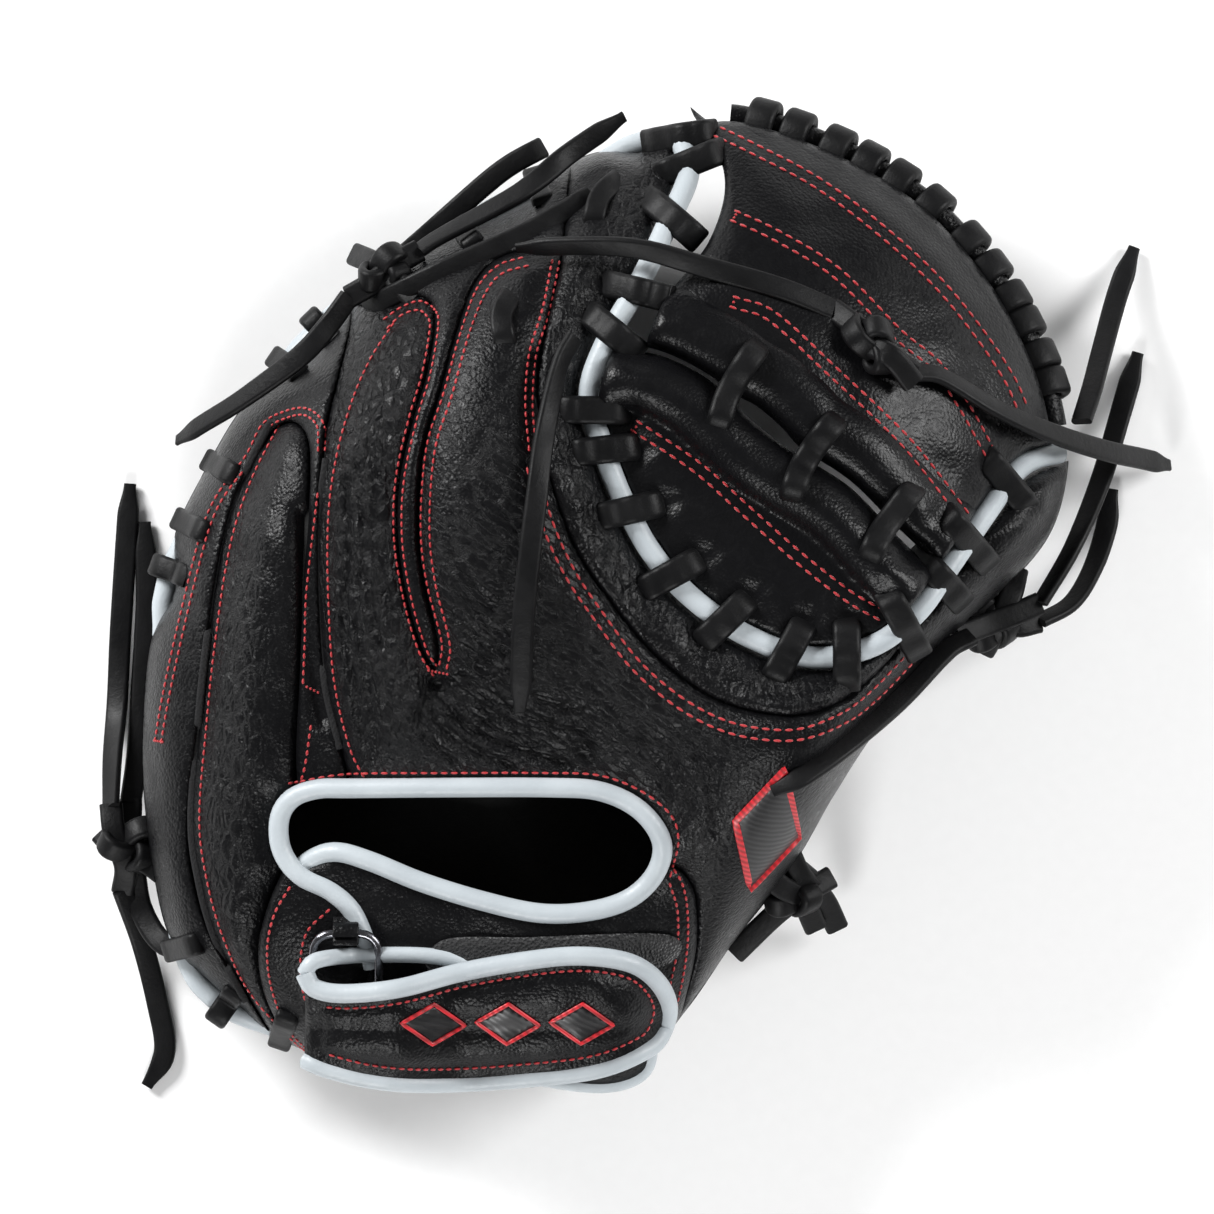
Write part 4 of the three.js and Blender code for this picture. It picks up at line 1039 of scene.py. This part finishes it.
def shell_edge(extra=0.0):
    """The edge of the back and palm leather in plan, or a line that much further in."""
    line = smooth_line(OUTLINE, 1.8, True)
    return beside(line, edge_inset(line) + extra, True)


shell_loop = shell_edge()
contours = [shell_edge(extra) for extra in (0.35, 1.0, 2.1, 3.6)]
crotch_fine = smooth_line(CROTCH, 1.6)
opening_fine = smooth_line(WRIST_OPENING, 1.5, True)
back_plan = cut_plan(
    [(shell_loop, True), (beside(crotch_fine, CROTCH_GAP), False), (beside(crotch_fine, -CROTCH_GAP), False),
     (opening_fine, True)]
    + [(smooth_line(line), False) for line in (
        LITTLE_FINGER_EDGE, RING_LEFT_EDGE, RING_RIGHT_EDGE, MIDDLE_LEFT_EDGE, ROLL_EDGE, BASE_EDGE,
        TAB_LEFT_EDGE, CUFF_EDGE)],
    GRID, contours)


def nearest_on(line, point):
    """The line's nearest point and its direction there."""
    index = int(np.argmin(np.linalg.norm(line[:, :2] - np.asarray(point), axis=1)))
    index = min(max(index, 1), len(line) - 2)
    along = line[index + 1, :2] - line[index - 1, :2]
    return line[index, :2], along / np.linalg.norm(along)


def crotch_wrap_places():
    """Where each lace crosses the crotch piping, and its direction across it."""
    places = []
    for i, place in enumerate(CROTCH_WRAPS):
        centre, along = nearest_on(crotch_fine, place)
        lean = 0.28 * (-1) ** i if i < 4 else 0.22
        across = np.array([-along[1], along[0]]) + lean * along
        across /= np.linalg.norm(across)
        places.append((centre + 0.5 * across, across))
    return places


crotch_wraps = crotch_wrap_places()


def drawn_in(p):
    """Dimples where the crotch lacing's ends pull the leather down, with a gather on either side."""
    total = np.zeros(len(p))
    for centre, across in crotch_wraps:
        for end in (-1, 1):
            x, y = centre + end * across * (WRAP_HALF + 0.5)
            total -= 1.7 * bump(p, x, y, 4.2, 4.2)
            for side in (-1, 1):
                gather_x = x + end * across[0] * 3.5 - side * across[1] * 3.6
                gather_y = y + end * across[1] * 3.5 + side * across[0] * 3.6
                total += 0.6 * bump(p, gather_x, gather_y, 2.4, 2.4)
    return total


def worked_back(p):
    return back_height(p) + folds(p) + drawn_in(p)


def waves(p, length, amount, angle, shift):
    along = p[:, 0] * math.cos(angle) + p[:, 1] * math.sin(angle)
    across = p[:, 1] * math.cos(angle) - p[:, 0] * math.sin(angle)
    return amount * np.sin(2 * math.pi * along / length + 1.7 * np.sin(across / length * 2.1 + shift))


def shrunken(p, d):
    """Fine cross wrinkles of a panel that was gathered when it was sewn."""
    inner = smooth(0, 5, d)
    return inner * (waves(p, 6.5, 0.28, 1.35, 0) + waves(p, 3.9, 0.16, 1.75, 2) + waves(p, 9, 0.3, 1.1, 4))


def worn(p, d):
    """Soft waves near the knuckles, fading out elsewhere."""
    near = bump(p, -48, -30, 34, 22) + 0.7 * bump(p, 24, -48, 16, 18)
    return near * smooth(0, 4, d) * (waves(p, 7.5, 0.34, -0.55, 0) + waves(p, 4.6, 0.18, -0.9, 2))


def soft_waves(p, d):
    return smooth(0, 4, d) * (waves(p, 21, 0.3, 0.4, 1) + waves(p, 13, 0.15, 1.2, 3))


def ring_side(p):
    """1 on the ring finger's part of the hand panel, fading out below it."""
    return smooth(-44, -49, p[:, 0]) * smooth(-45, 0, p[:, 1])


def hand_gather(p):
    """Long wrinkles on the ring finger and by the opening, slanted ones across the rest of the hand."""
    knuckles = bump(p, -56, -26, 12, 24) + 0.5 * bump(p, 24, -50, 12, 20)
    slanted = bump(p, -26, -14, 26, 46) + 0.6 * bump(p, 10, -40, 22, 16)
    return {"gathered": np.clip(0.75 * ring_side(p) + 0.8 * knuckles, 0, 1),
            "slanted": np.clip(slanted * (1 - ring_side(p)), 0, 0.9)}


def little_gather(p):
    return {"gathered": 0.7 * bump(p, -103, -20, 9, 80)}


def roll_gather(p):
    return {"gathered": 0.4 * np.exp(-((distance(p, *crotch_segments) - 9) / 6) ** 2)}


def hand_relief(p, d):
    ring = ring_side(p)
    knuckle = 2.6 * bump(p, -54, -31, 9, 15)
    return 0.6 * (1 - ring) * worn(p, d) + 0.8 * ring * shrunken(p, d) - 1.2 * ring + knuckle


def back_panels():
    leather_panel("little_finger_gusset", back_plan, (-116, -20), worked_back, "mitt_body", ["pinky_back"],
                  lift=-0.8, puff=1.6, extra=soft_waves)
    leather_panel("little_finger_panel", back_plan, (-98, -20), worked_back, "mitt_body", ["pinky_back"],
                  lift=1.0, puff=5.5, reach=14, extra=soft_waves, gather=little_gather)
    leather_panel("ring_finger_gusset", back_plan, (-46, 92), worked_back, "mitt_body", ["ring_back"],
                  lift=-0.8, puff=2.0, reach=6, extra=soft_waves)
    leather_panel("hand_panel", back_plan, (-32, 20), worked_back, "fold",
                  ["middle_back", "ring_back", "hand_back", "thumb_back"], lift=0.8, puff=3.6, reach=12,
                  extra=hand_relief, gather=hand_gather)
    leather_panel("crotch_roll_leather", back_plan, (-8, 55), worked_back, "fold",
                  ["crotch_roll", "thumb_back"], lift=-0.8, puff=1.6, reach=7, extra=soft_waves,
                  gather=roll_gather)
    leather_panel("wrist_base_panel", back_plan, (-30, -110), worked_back, "mitt_body", ["wrist_base"],
                  puff=1.2, reach=6, extra=soft_waves)
    leather_panel("ring_tab_leather", back_plan, (-86, -100), worked_back, "mitt_body", ["ring_tab_panel"],
                  lift=0.8, puff=1.0, reach=5)


back_panels()

# ---- Web ----


def web_height(p):
    return crotch_height(p) + 1.5


gap_top_segments = segments(smooth_line(WEB_GAP_TOP, 3))
gap_low_segments = segments(smooth_line(WEB_GAP_LOW, 3))


def fat_roll(p, ends, width, height):
    """A padded roll along an edge of the web."""
    d = distance(p, *ends)
    return height * np.sqrt(np.clip(1 - ((d - width / 2) / (width / 2)) ** 2, 0, 1))


web_band_segments = segments(smooth_line(WEB_BAND, 3))


def main_relief(p, d):
    low = fat_roll(p, gap_top_segments, 18.5, 7.5)
    high = fat_roll(p, web_band_segments, 17, 3.0)
    return low + high + 0.4 * soft_waves(p, d) + drawn_in(p)


def lower_relief(p, d):
    roll = fat_roll(p, gap_low_segments, 16.5, 7.5)
    return roll + 1.5 * smooth(0, 10, d) + 0.5 * soft_waves(p, d) + drawn_in(p)


def band_relief(p, d):
    return 2.2 * smooth(0, 9, d) + soft_waves(p, d)


def web_panels():
    top = beside(smooth_line(web_top_edge, 2), 5.5)
    plan = cut_plan(
        [(top, False), (beside(crotch_fine, CROTCH_GAP), False)]
        + [(smooth_line(line), False) for line in (WEB_LEFT, WEB_GAP_TOP, WEB_GAP_LOW, WEB_BAND)], GRID)
    leather_panel("web_band_leather", plan, (48, 119), web_height, "fold", ["web_band", "thumb_web_band"],
                  lift=2.4, puff=0.6, reach=3, thickness=WEB_THICKNESS, extra=band_relief,
                  material=WEB_LEATHER)
    leather_panel("web_main_leather", plan, (60, 85), web_height, "fold",
                  ["web_main_panel", "thumb_web_main_panel"], puff=0.8, reach=4, thickness=WEB_THICKNESS,
                  extra=main_relief, material=WEB_LEATHER)
    leather_panel("web_lower_leather", plan, (40, 15), web_height, "fold",
                  ["web_lower_panel", "thumb_web_lower_panel"], puff=0.8, reach=4, thickness=WEB_THICKNESS,
                  extra=lower_relief, material=WEB_LEATHER)


web_panels()

# ---- Dropping what is sewn on or laid over onto the leather ----


def surface_of(meshes):
    vertices = []
    polygons = []
    base = 0
    for points, faces in meshes:
        vertices += points.tolist()
        polygons += (faces + base).tolist()
        base += len(points)
    return BVHTree.FromPolygons(vertices, polygons)


def drop(tree, p, otherwise):
    """The height of the leather under each plan point."""
    heights = []
    for x, y in np.asarray(p)[:, :2]:
        hit = tree.ray_cast(Vector((x, y, 300)), Vector((0, 0, -1)))
        heights.append(hit[0].z if hit[0] else np.nan)
    heights = np.array(heights)
    missing = np.isnan(heights)
    if missing.any():
        heights[missing] = otherwise(np.asarray(p)[missing][:, :2])
    return heights


leather_surface = surface_of(back_meshes)


def on_leather(p):
    return drop(leather_surface, p, back_height)


def sewn_rows(name, rows, height, body):
    by_pitch = {}
    for points, pitch, second in rows:
        line = smooth_line(points, 1.2)
        for step in ((0, second) if second else (0,)):
            moved = beside(line, step)
            place = np.column_stack([moved, height(moved) + THREAD_RADIUS * 0.35])
            by_pitch.setdefault(pitch, []).append((place, {}))
    for pitch, lines in by_pitch.items():
        sizes = {"Pitch": pitch, "Radius": THREAD_RADIUS, "Half Length": pitch * 0.36}
        label = f"{name}_{round(pitch * 100)}"
        settle(grow(label, STITCHES, lines, THREAD, sizes), body)


sewn_rows("stitching", STITCH_ROWS, on_leather, "fold")


def cut_edges():
    """The raw edges that stand up beside the finger panels' seams; their lighter colour is a painted
    highlight.
    """
    lines = []
    for points, side in CUT_EDGES:
        line = beside(smooth_line(points, 1.6), side)
        lines.append(lace_line(np.column_stack([line, on_leather(line) + 0.2]), UP))
    edges = grow("finger_cut_edges_with_painted_highlight", FLAT_LACE, lines, CUT_EDGE_WITH_HIGHLIGHT, {"Width": 2.1, "Thickness": 1.5})
    settle(edges, "mitt_body")


cut_edges()

# ---- Piping and lacing ----

rim_line = smooth_line(OUTLINE, 2, True)
rim_line = beside(rim_line, 4.2 - 0.45 * edge_inset(rim_line), True)


def rim_piping():
    """Round the whole mitt from the index finger's tip, past the heel, to the thumb's tip."""
    away = (distance(rim_line, *web_top_segments) > 12) & (distance(rim_line, *crotch_segments) > 7)
    start = int(np.flatnonzero(away & ~np.roll(away, 1))[0])
    order = np.roll(np.arange(len(rim_line)), -start)
    line = rim_line[order][away[order]]
    points = np.column_stack([line, np.full(len(line), RIM_HEIGHT - 0.5)])
    settle(piping("rim_piping", points, WELT_RADIUS), "fold", ["rim_welt", "thumb_rim_welt"])


def crotch_piping():
    line = crotch_fine[inset(crotch_fine) > 2]
    points = np.column_stack([line, crotch_height(line)])
    settle(piping("crotch_piping", points, WELT_RADIUS), "fold",
           ["crotch_welt", "thumb_crotch_welt"])


def opening_piping():
    line = smooth_line(OPENING_BINDING, 1.6)
    height = back_height(line) - 0.6
    along = np.linspace(0, 1, len(line))
    height -= 3.0 * smooth(0.93, 1.0, along)
    points = np.column_stack([line, height])
    settle(piping("opening_binding", points, WELT_RADIUS - 0.3), "mitt_body",
           ["wrist_binding"])


def smoothed(values, rounds):
    for _ in range(rounds):
        values = np.concatenate([values[:1], (values[:-2] + 2 * values[1:-1] + values[2:]) / 4, values[-1:]])
    return values


def crossing_lace(centre, across, half, tube_height):
    """A lace over the leather and the piping, with both ends going down into their holes."""
    s = np.linspace(-1, 1, 17) * half
    xy = np.asarray(centre, float) + s[:, None] * np.asarray(across, float)
    z = on_leather(xy)
    over = tube_height + np.sqrt(np.clip(WELT_RADIUS ** 2 - s ** 2, 0, None))
    z = np.where(np.abs(s) < WELT_RADIUS, np.maximum(z, over), z)
    z = np.maximum(z, tube_height - 7)
    z = smoothed(z, 6) + LACE_THICKNESS * 0.8
    z = np.maximum(z, smoothed(z, 10))
    z -= WRAP_HOLE_DEPTH * smooth(half - 3.5, half, np.abs(s))
    return lace_line(np.column_stack([xy, z]), UP, step=1.2)


def crotch_lacing():
    lines = []
    for centre, across in crotch_wraps:
        height = float(crotch_height(np.array([centre]))[0])
        lines.append(crossing_lace(centre, across, WRAP_HALF, height))
    settle(laces("crotch_lacing_wraps", lines, 7.6, 3.3), "fold",
           ["crotch_lacing", "thumb_crotch_lacing"])


def rim_lacing():
    lines = []
    for place in RIM_WRAPS:
        centre, along = nearest_on(rim_line, place)
        inward = np.array([-along[1], along[0]])
        reach = np.array([5.5, 4.4, 3.2, 2.0])
        over = centre + inward * reach[:, None]
        z = on_leather(over) + 1.4
        z[0] -= 3.0
        points = [(*q, h) for q, h in zip(over, z)]
        for angle in (50, 0, -50, -90):
            turn = math.radians(angle)
            q = centre - inward * math.cos(turn) * (WELT_RADIUS + 1.5)
            points.append((*q, RIM_HEIGHT + math.sin(turn) * (WELT_RADIUS + 1.5)))
        points = np.array(points)
        ups = points - np.array([*(centre + inward * 6), RIM_HEIGHT - 4])
        lines.append(lace_line(points, ups, step=1.2))
    settle(laces("rim_lacing_wraps", lines, 6.4, 2.6), "mitt_body", ["rim_lacing"])


def web_edge():
    edge = beside(smooth_line(web_top_edge, 2), 4.0)
    edge = edge[(edge[:, 0] > 34) & (edge[:, 1] > 44)]
    points = np.column_stack([edge, np.full(len(edge), WEB_EDGE_HEIGHT)])
    roll = piping("web_edge_roll_leather", points, WEB_EDGE_RADIUS, BLACK_LEATHER)
    settle(roll, "fold", ["web_edge_roll", "thumb_web_edge_roll"])
    lines = []
    for place in EDGE_WRAPS:
        centre, along = nearest_on(edge, place)
        inward = np.array([-along[1], along[0]])
        loop = []
        for angle in range(-70, 231, 30):
            turn = math.radians(angle)
            side = math.cos(turn)
            reach = 8.0 if side > 0 else 5.2
            q = centre + inward * side * reach + along * 1.2 * math.sin(turn)
            loop.append((*q, WEB_EDGE_HEIGHT + 5.4 * math.sin(turn)))
        loop = np.array(loop)
        ups = loop - np.array([*centre, WEB_EDGE_HEIGHT])
        lines.append(lace_line(loop, ups, step=1.2))
    settle(laces("web_edge_lacing_wraps", lines, 8.0, 3.2), "fold",
           ["web_edge_lacing", "thumb_web_edge_lacing"])


def laid_lace(points, hole=3.0, raise_by=0.0):
    """A lace that lies on the leather along plan points."""
    xy = smooth_line(points, 2.0)
    z = smoothed(on_leather(xy), 3)
    z = np.maximum(z, smoothed(z, 12)) + LACE_THICKNESS * 0.6 + raise_by
    at = np.concatenate([[0], np.cumsum(np.linalg.norm(np.diff(xy, axis=0), axis=1))])
    z -= hole * (1 - smooth(0, 3, at)) + hole * (1 - smooth(0, 3, at[-1] - at))
    return lace_line(np.column_stack([xy, z]), UP, step=1.5)


def laid_laces():
    web = [laid_lace(points, hole=5, raise_by=1.0) for points in WEB_SPIRALS]
    settle(laces("web_spiral_wraps", web, 7.0, 3.6), "fold", ["web_spiral_lacing"])
    rim = [laid_lace(points) for points in LAID_LACES]
    settle(laces("rim_lace_runs", rim), "mitt_body")


rim_piping()
crotch_piping()
opening_piping()
crotch_lacing()
rim_lacing()
web_edge()
laid_laces()

# ---- Knots ----


def knots():
    """Each knot is one lace tied tightly over itself, with the runs of lace that it ties together."""
    t = np.linspace(0, 2 * math.pi, 44)
    for name, (body, centre, size, turn, runs) in KNOTS.items():
        shape = np.column_stack([
            np.sin(t) + 2 * np.sin(2 * t), np.cos(t) - 2 * np.cos(2 * t), -np.sin(3 * t)])
        shape *= np.array([size[0] * 0.24, size[1] * 0.24, size[2] * 0.62])
        angle = math.radians(turn)
        spun = shape @ np.array([
            [math.cos(angle), math.sin(angle), 0], [-math.sin(angle), math.cos(angle), 0], [0, 0, 1]])
        ups = spun + np.array([0, 0, 3.0])
        lines = [lace_line(spun + np.array(centre), ups, step=1.2)]
        lines += [lace_line(run, UP, step=1.5) for run in runs]
        settle(laces(f"{name}_lace", lines, 6.4, 2.8), body, [name])


knots()

# ---- Wrist strap, its tape and its ring ----

strap_fine = smooth_line(STRAP, 1.6, True)


def under_strap_low(p):
    """What the under strap lies on: the wrist's height, drooping past the mitt's end."""
    level = np.column_stack([p[:, 0], np.maximum(p[:, 1], -118)])
    droop = 0.035 * np.clip(-118 - p[:, 1], 0, None) ** 2
    return back_height(level) - droop


def strap_low(p):
    """The outer strap's underside, which rises over the ring and turns down round it."""
    turn = 2.2 * (1 - smooth(-83, -78, p[:, 0]))
    over_ring = RING_ROOM * (1 - smooth(-60, -36, p[:, 0]))
    return under_strap_low(p) + 2.2 + over_ring - turn


def strap_parts():
    plan = cut_plan([(strap_fine, True)], GRID)
    points, faces = part_at(plan, (-30, -115))
    d = edge_distance(points, faces)
    top = strap_low(points) + 3.4 + 2.2 * smooth(0, 12, d) + soft_waves(points, d)
    top -= 1.0 * np.exp(-((d - STRAP_ROW_INSET) / 1.4) ** 2)
    flap = closed_layer("wrist_strap_flap", points, faces, top, strap_low(points), BLACK_LEATHER)
    settle(flap, "strap_flap", ["strap_flap"])
    strap_surface = surface_of([(np.column_stack([points, top]), faces)])

    def on_strap(p):
        return drop(strap_surface, p, lambda q: strap_low(q) + 4)

    edge = smooth_line(STRAP[:-1], 1.6)
    bound = np.column_stack([edge, strap_low(edge) + 2.4])
    settle(piping("strap_edge_binding", bound, STRAP_BINDING_RADIUS), "strap_flap",
           ["strap_binding"])
    row = beside(edge, STRAP_ROW_INSET)
    if not inside(row[40:41], strap_fine)[0]:
        row = beside(edge, -STRAP_ROW_INSET)
    row = row[row[:, 0] > STRAP_ROW_START]
    place = np.column_stack([row, on_strap(row) + 0.15])
    sizes = {"Pitch": 2.4, "Radius": THREAD_RADIUS, "Half Length": 0.88}
    settle(grow("strap_stitching", STITCHES, [(place, {})], THREAD, sizes), "strap_flap")
    return on_strap


def lozenge(centre, half_x, half_y, turn=0.0):
    angle = math.radians(turn)
    corners = []
    for x, y in ((half_x, 0), (0, half_y), (-half_x, 0), (0, -half_y)):
        corners.append((centre[0] + x * math.cos(angle) - y * math.sin(angle),
                        centre[1] + x * math.sin(angle) + y * math.cos(angle)))
    sides = []
    for i in range(4):
        a, b = np.array(corners[i]), np.array(corners[(i + 1) % 4])
        sides.append(a + (b - a) * np.linspace(0, 1, 10, endpoint=False)[:, None])
    return np.vstack(sides)


def embroidered_lozenges(name, shapes, height, body, border):
    """Plain lozenges in black satin stitch, each edged in red."""
    borders = []
    for i, loop in enumerate(shapes):
        plan = cut_plan([(loop, True)], 1.2)
        points, faces = part_at(plan, loop.mean(0))
        d = edge_distance(points, faces)
        top = height(points) + 0.35 + 0.5 * smooth(0, 3, d)
        field = closed_layer(f"{name}_field_{i + 1}", points, faces, top, top - 0.8, BLACK_SATIN)
        settle(field, body)
        ring = np.vstack([loop, loop[:2]])
        line = np.column_stack([ring, height(ring) + 0.5])
        borders.append((line, {"up": np.tile([0.0, 0.0, 1.0], (len(line), 1)), "swell": np.ones(len(line))}))
    edging = grow(f"{name}_edging", FLAT_LACE, borders, RED_SATIN, {"Width": border, "Thickness": 0.9})
    settle(edging, body)


on_strap = strap_parts()
embroidered_lozenges("strap_lozenge", [lozenge((x, -116.5), 8.5, 5.5, -3) for x in (-46, -26, -6)], on_strap,
                     "strap_flap", 1.1)
embroidered_lozenges("thumb_lozenge", [lozenge((44, -64), 17, 9, 75)], on_leather, "fold", 1.9)


def tapes_and_ring():
    loop = smooth_line([(-44, -94), (-20, -93), (17, -92.5), (18.5, -100), (0, -104), (-44, -104)], 2, True)
    for name, nodes, body, low in (("loop_tape_patch", ["loop_patch"], "mitt_body", 0.4),
                                   ("hook_tape_patch", ["hook_patch"], "strap_flap", 1.0)):
        shape = loop if body == "mitt_body" else loop * np.array([0.8, 0.8]) + np.array([-4, -32])
        points, faces = part_at(cut_plan([(shape, True)], 2), shape.mean(0))
        d = edge_distance(points, faces)
        low_side = back_height(points) + low
        high_side = low_side + 0.4 + 0.7 * round_off(d / 1.2)
        tape = closed_layer(name, points, faces, high_side, low_side, LOOP_TAPE)
        settle(tape, body, nodes)
    under = smooth_line([
        (-78, -108), (-40, -105), (4, -106), (11, -112), (12.5, -124), (11, -129.5), (6, -132.5),
        (-2, -133.5), (-14, -132), (-30, -129), (-50, -124), (-77, -119)], 2, True)
    points, faces = part_at(cut_plan([(under, True)], 3), under.mean(0))
    low_side = under_strap_low(points) + 0.1
    strap = closed_layer("under_strap_leather", points, faces, low_side + 1.0, low_side - 0.6, BLACK_LEATHER)
    settle(strap, "mitt_body", ["under_strap"])
    tongue = smooth_line([
        (-50, -124), (-30, -129), (-14, -132.5), (-2, -134), (6, -133), (11, -130), (12.5, -125),
        (12, -118)])
    points = np.column_stack([tongue, under_strap_low(tongue) - 0.6])
    settle(piping("under_strap_binding", points, 2.1), "mitt_body")
    inner = smooth_line([(-80.5, -102.5), (-78, -99.3), (-71, -98.2), (-60, -97.8), (-48, -98), (-39, -99.5),
                         (-32, -102.5)])
    points = np.column_stack([inner, back_height(inner) + 1.2 - 1.6 * smooth(-46, -36, inner[:, 0])])
    points[:, 2] += (RING_ROOM + 2) * (1 - smooth(-81, -66, inner[:, 0]))
    settle(piping("cuff_inner_binding", points, 2.2), "mitt_body")


def d_ring():
    points = []
    for sign, at_top, start in ((1, True, 0), (-1, True, 90), (-1, False, 180), (1, False, 270)):
        x = RING_TOP[0] + sign * (RING_HALF_WIDTH - RING_CORNER)
        y = RING_TOP[1] - (RING_CORNER if at_top else RING_LENGTH - RING_CORNER)
        for turn in range(0, 91, 15):
            angle = math.radians(start + turn)
            q = (x + RING_CORNER * math.cos(angle), y + RING_CORNER * math.sin(angle))
            points.append((*q, RING_TOP[2] - RING_DROP * (RING_TOP[1] - q[1]) / RING_LENGTH))
    ring = smooth_line(points, 1.2, True)
    settle(piping("strap_ring", ring, 1.2, NICKEL, closed=True), "d_ring", ["d_ring"])
    turns = np.linspace(-0.3, 2 * math.pi - 0.9, 16)
    loop = [(RING_TOP[0], RING_TOP[1] + 2.6 * math.sin(a), RING_TOP[2] + 2.6 * math.cos(a)) for a in turns]
    loop.append((RING_TOP[0], RING_TOP[1] + 7, RING_TOP[2] - 5))
    ups = [np.array(q) - np.array(RING_TOP) for q in loop]
    tab = grow("ring_leather_tab", FLAT_LACE, [lace_line(loop, ups, step=0.8)], BLACK_LEATHER,
               {"Width": 7, "Thickness": 1.2})
    settle(tab, "mitt_body", ["ring_tab"])


tapes_and_ring()
d_ring()

# ---- Palm, pads and linings ----


def inner_room(p):
    return np.maximum(back_height(p) - 8.5 - palm_height(p) - PALM_LEATHER_THICKNESS, 1.5)


def pad_low(p):
    return palm_height(p) + PALM_LEATHER_THICKNESS + 0.4


def pad_high(p):
    return pad_low(p) + np.minimum(15, inner_room(p) * 0.4)


def palm_and_pads():
    outer = [(shell_loop, True), (beside(crotch_fine, -CROTCH_GAP), False)]
    points, faces = part_at(cut_plan(outer, 2.6, contours), (-30, 0))
    d = edge_distance(points, faces)
    low = palm_height(points)
    high = low + PALM_LEATHER_THICKNESS * round_off((d + 0.5) / 2)
    obj = closed_layer("palm_leather", points, faces, high, low, PALM_LEATHER)
    settle(obj, "fold", ["palm_shell", "thumb_palm_shell"])

    pad_loop = smooth_line(PAD_AREA, 3, True)
    points, faces = part_at(cut_plan([(pad_loop, True)], 4), (-30, 0))
    d = edge_distance(points, faces)
    low = pad_low(points) + 1.5 * (1 - round_off(d / 5))
    high = np.maximum(pad_high(points) - 3 * (1 - round_off(d / 8)), low + 0.5)
    obj = closed_layer("palm_pad_felt", points, faces, high, low, FELT)
    settle(obj, "fold", ["palm_pad", "thumb_palm_pad"])
    low = np.maximum(pad_high(points), high) + 0.4
    obj = closed_layer("palm_lining_leather", points, faces, low + LINING_THICKNESS, low, LINING_LEATHER)
    settle(obj, "fold", ["palm_lining"])

    heel = beside(shell_loop, 3, True)
    lines = [(heel, True), (beside(pad_loop, -1.5, True), True),
             (smooth_line([(20, -100), (20, -150)]), False), (smooth_line([(-14, 90), (-4, 140)]), False),
             (smooth_line([(20, -90), (22, -100)]), False)]
    points, faces = part_at(cut_plan(lines, 4), (-108, -60))
    keep = points[faces].mean(1)
    faces = faces[(keep[:, 0] < 20) & (keep[:, 1] < 100)]
    used, faces = np.unique(faces, return_inverse=True)
    points, faces = points[used], faces.reshape(-1, 3)
    d = edge_distance(points, faces)
    low = pad_low(points) + 1.0 * (1 - round_off(d / 4))
    high = np.maximum(pad_low(points) + inner_room(points) - 2 * (1 - round_off(d / 6)) - 1, low + 0.5)
    obj = closed_layer("heel_pad_felt", points, faces, high, low, FELT)
    settle(obj, "mitt_body", ["heel_pad"])

    hole = beside(opening_fine, 7, True)
    if not inside(opening_fine[:1], hole)[0]:
        hole = beside(opening_fine, -7, True)
    points, faces = part_at(cut_plan([(pad_loop, True), (hole, True)], 4), (-30, 20))
    high = back_height(points) - 7.0
    low = high - LINING_THICKNESS
    obj = closed_layer("back_lining_leather", points, faces, high, low, LINING_LEATHER)
    settle(obj, "fold", ["back_lining"])

    for name, line in (("pinky_stall_wall", [(-78, 44), (-80, -20)]),
                       ("ring_stall_wall", [(-52, 56), (-54, -20)])):
        wall = smooth_line(line, 3)
        loop = np.vstack([beside(wall, -0.7), beside(wall, 0.7)[::-1]])
        points, faces = part_at(cut_plan([(loop, True)], 3), loop.mean(0))
        low = pad_high(points) + 2
        high = np.maximum(back_height(points) - 8.6, low + 1)
        obj = closed_layer(f"{name}_leather", points, faces, high, low, LINING_LEATHER)
        settle(obj, "mitt_body", [name])


palm_and_pads()

# ---- Floor and lights ----

floor = new_object("floor", [(-1500, -1500, 0), (1500, -1500, 0), (1500, 1500, 0), (-1500, 1500, 0)],
                   [(0, 1, 2, 3)], floor_material())

for name, (place, size, power) in LIGHTS.items():
    light = bpy.data.lights.new(name, "AREA")
    light.size = size
    light.energy = power
    lamp = bpy.data.objects.new(name, light)
    lamp.location = place
    lamp.rotation_euler = (-Vector(place)).to_track_quat("-Z", "Y").to_euler()
    bpy.context.scene.collection.objects.link(lamp)

world = bpy.data.worlds.new("studio")
world.use_nodes = True
world.node_tree.nodes["Background"].inputs[0].default_value = linear("#ffffff")
world.node_tree.nodes["Background"].inputs[1].default_value = 0.2
bpy.context.scene.world = world
bpy.context.scene.view_settings.view_transform = "Standard"
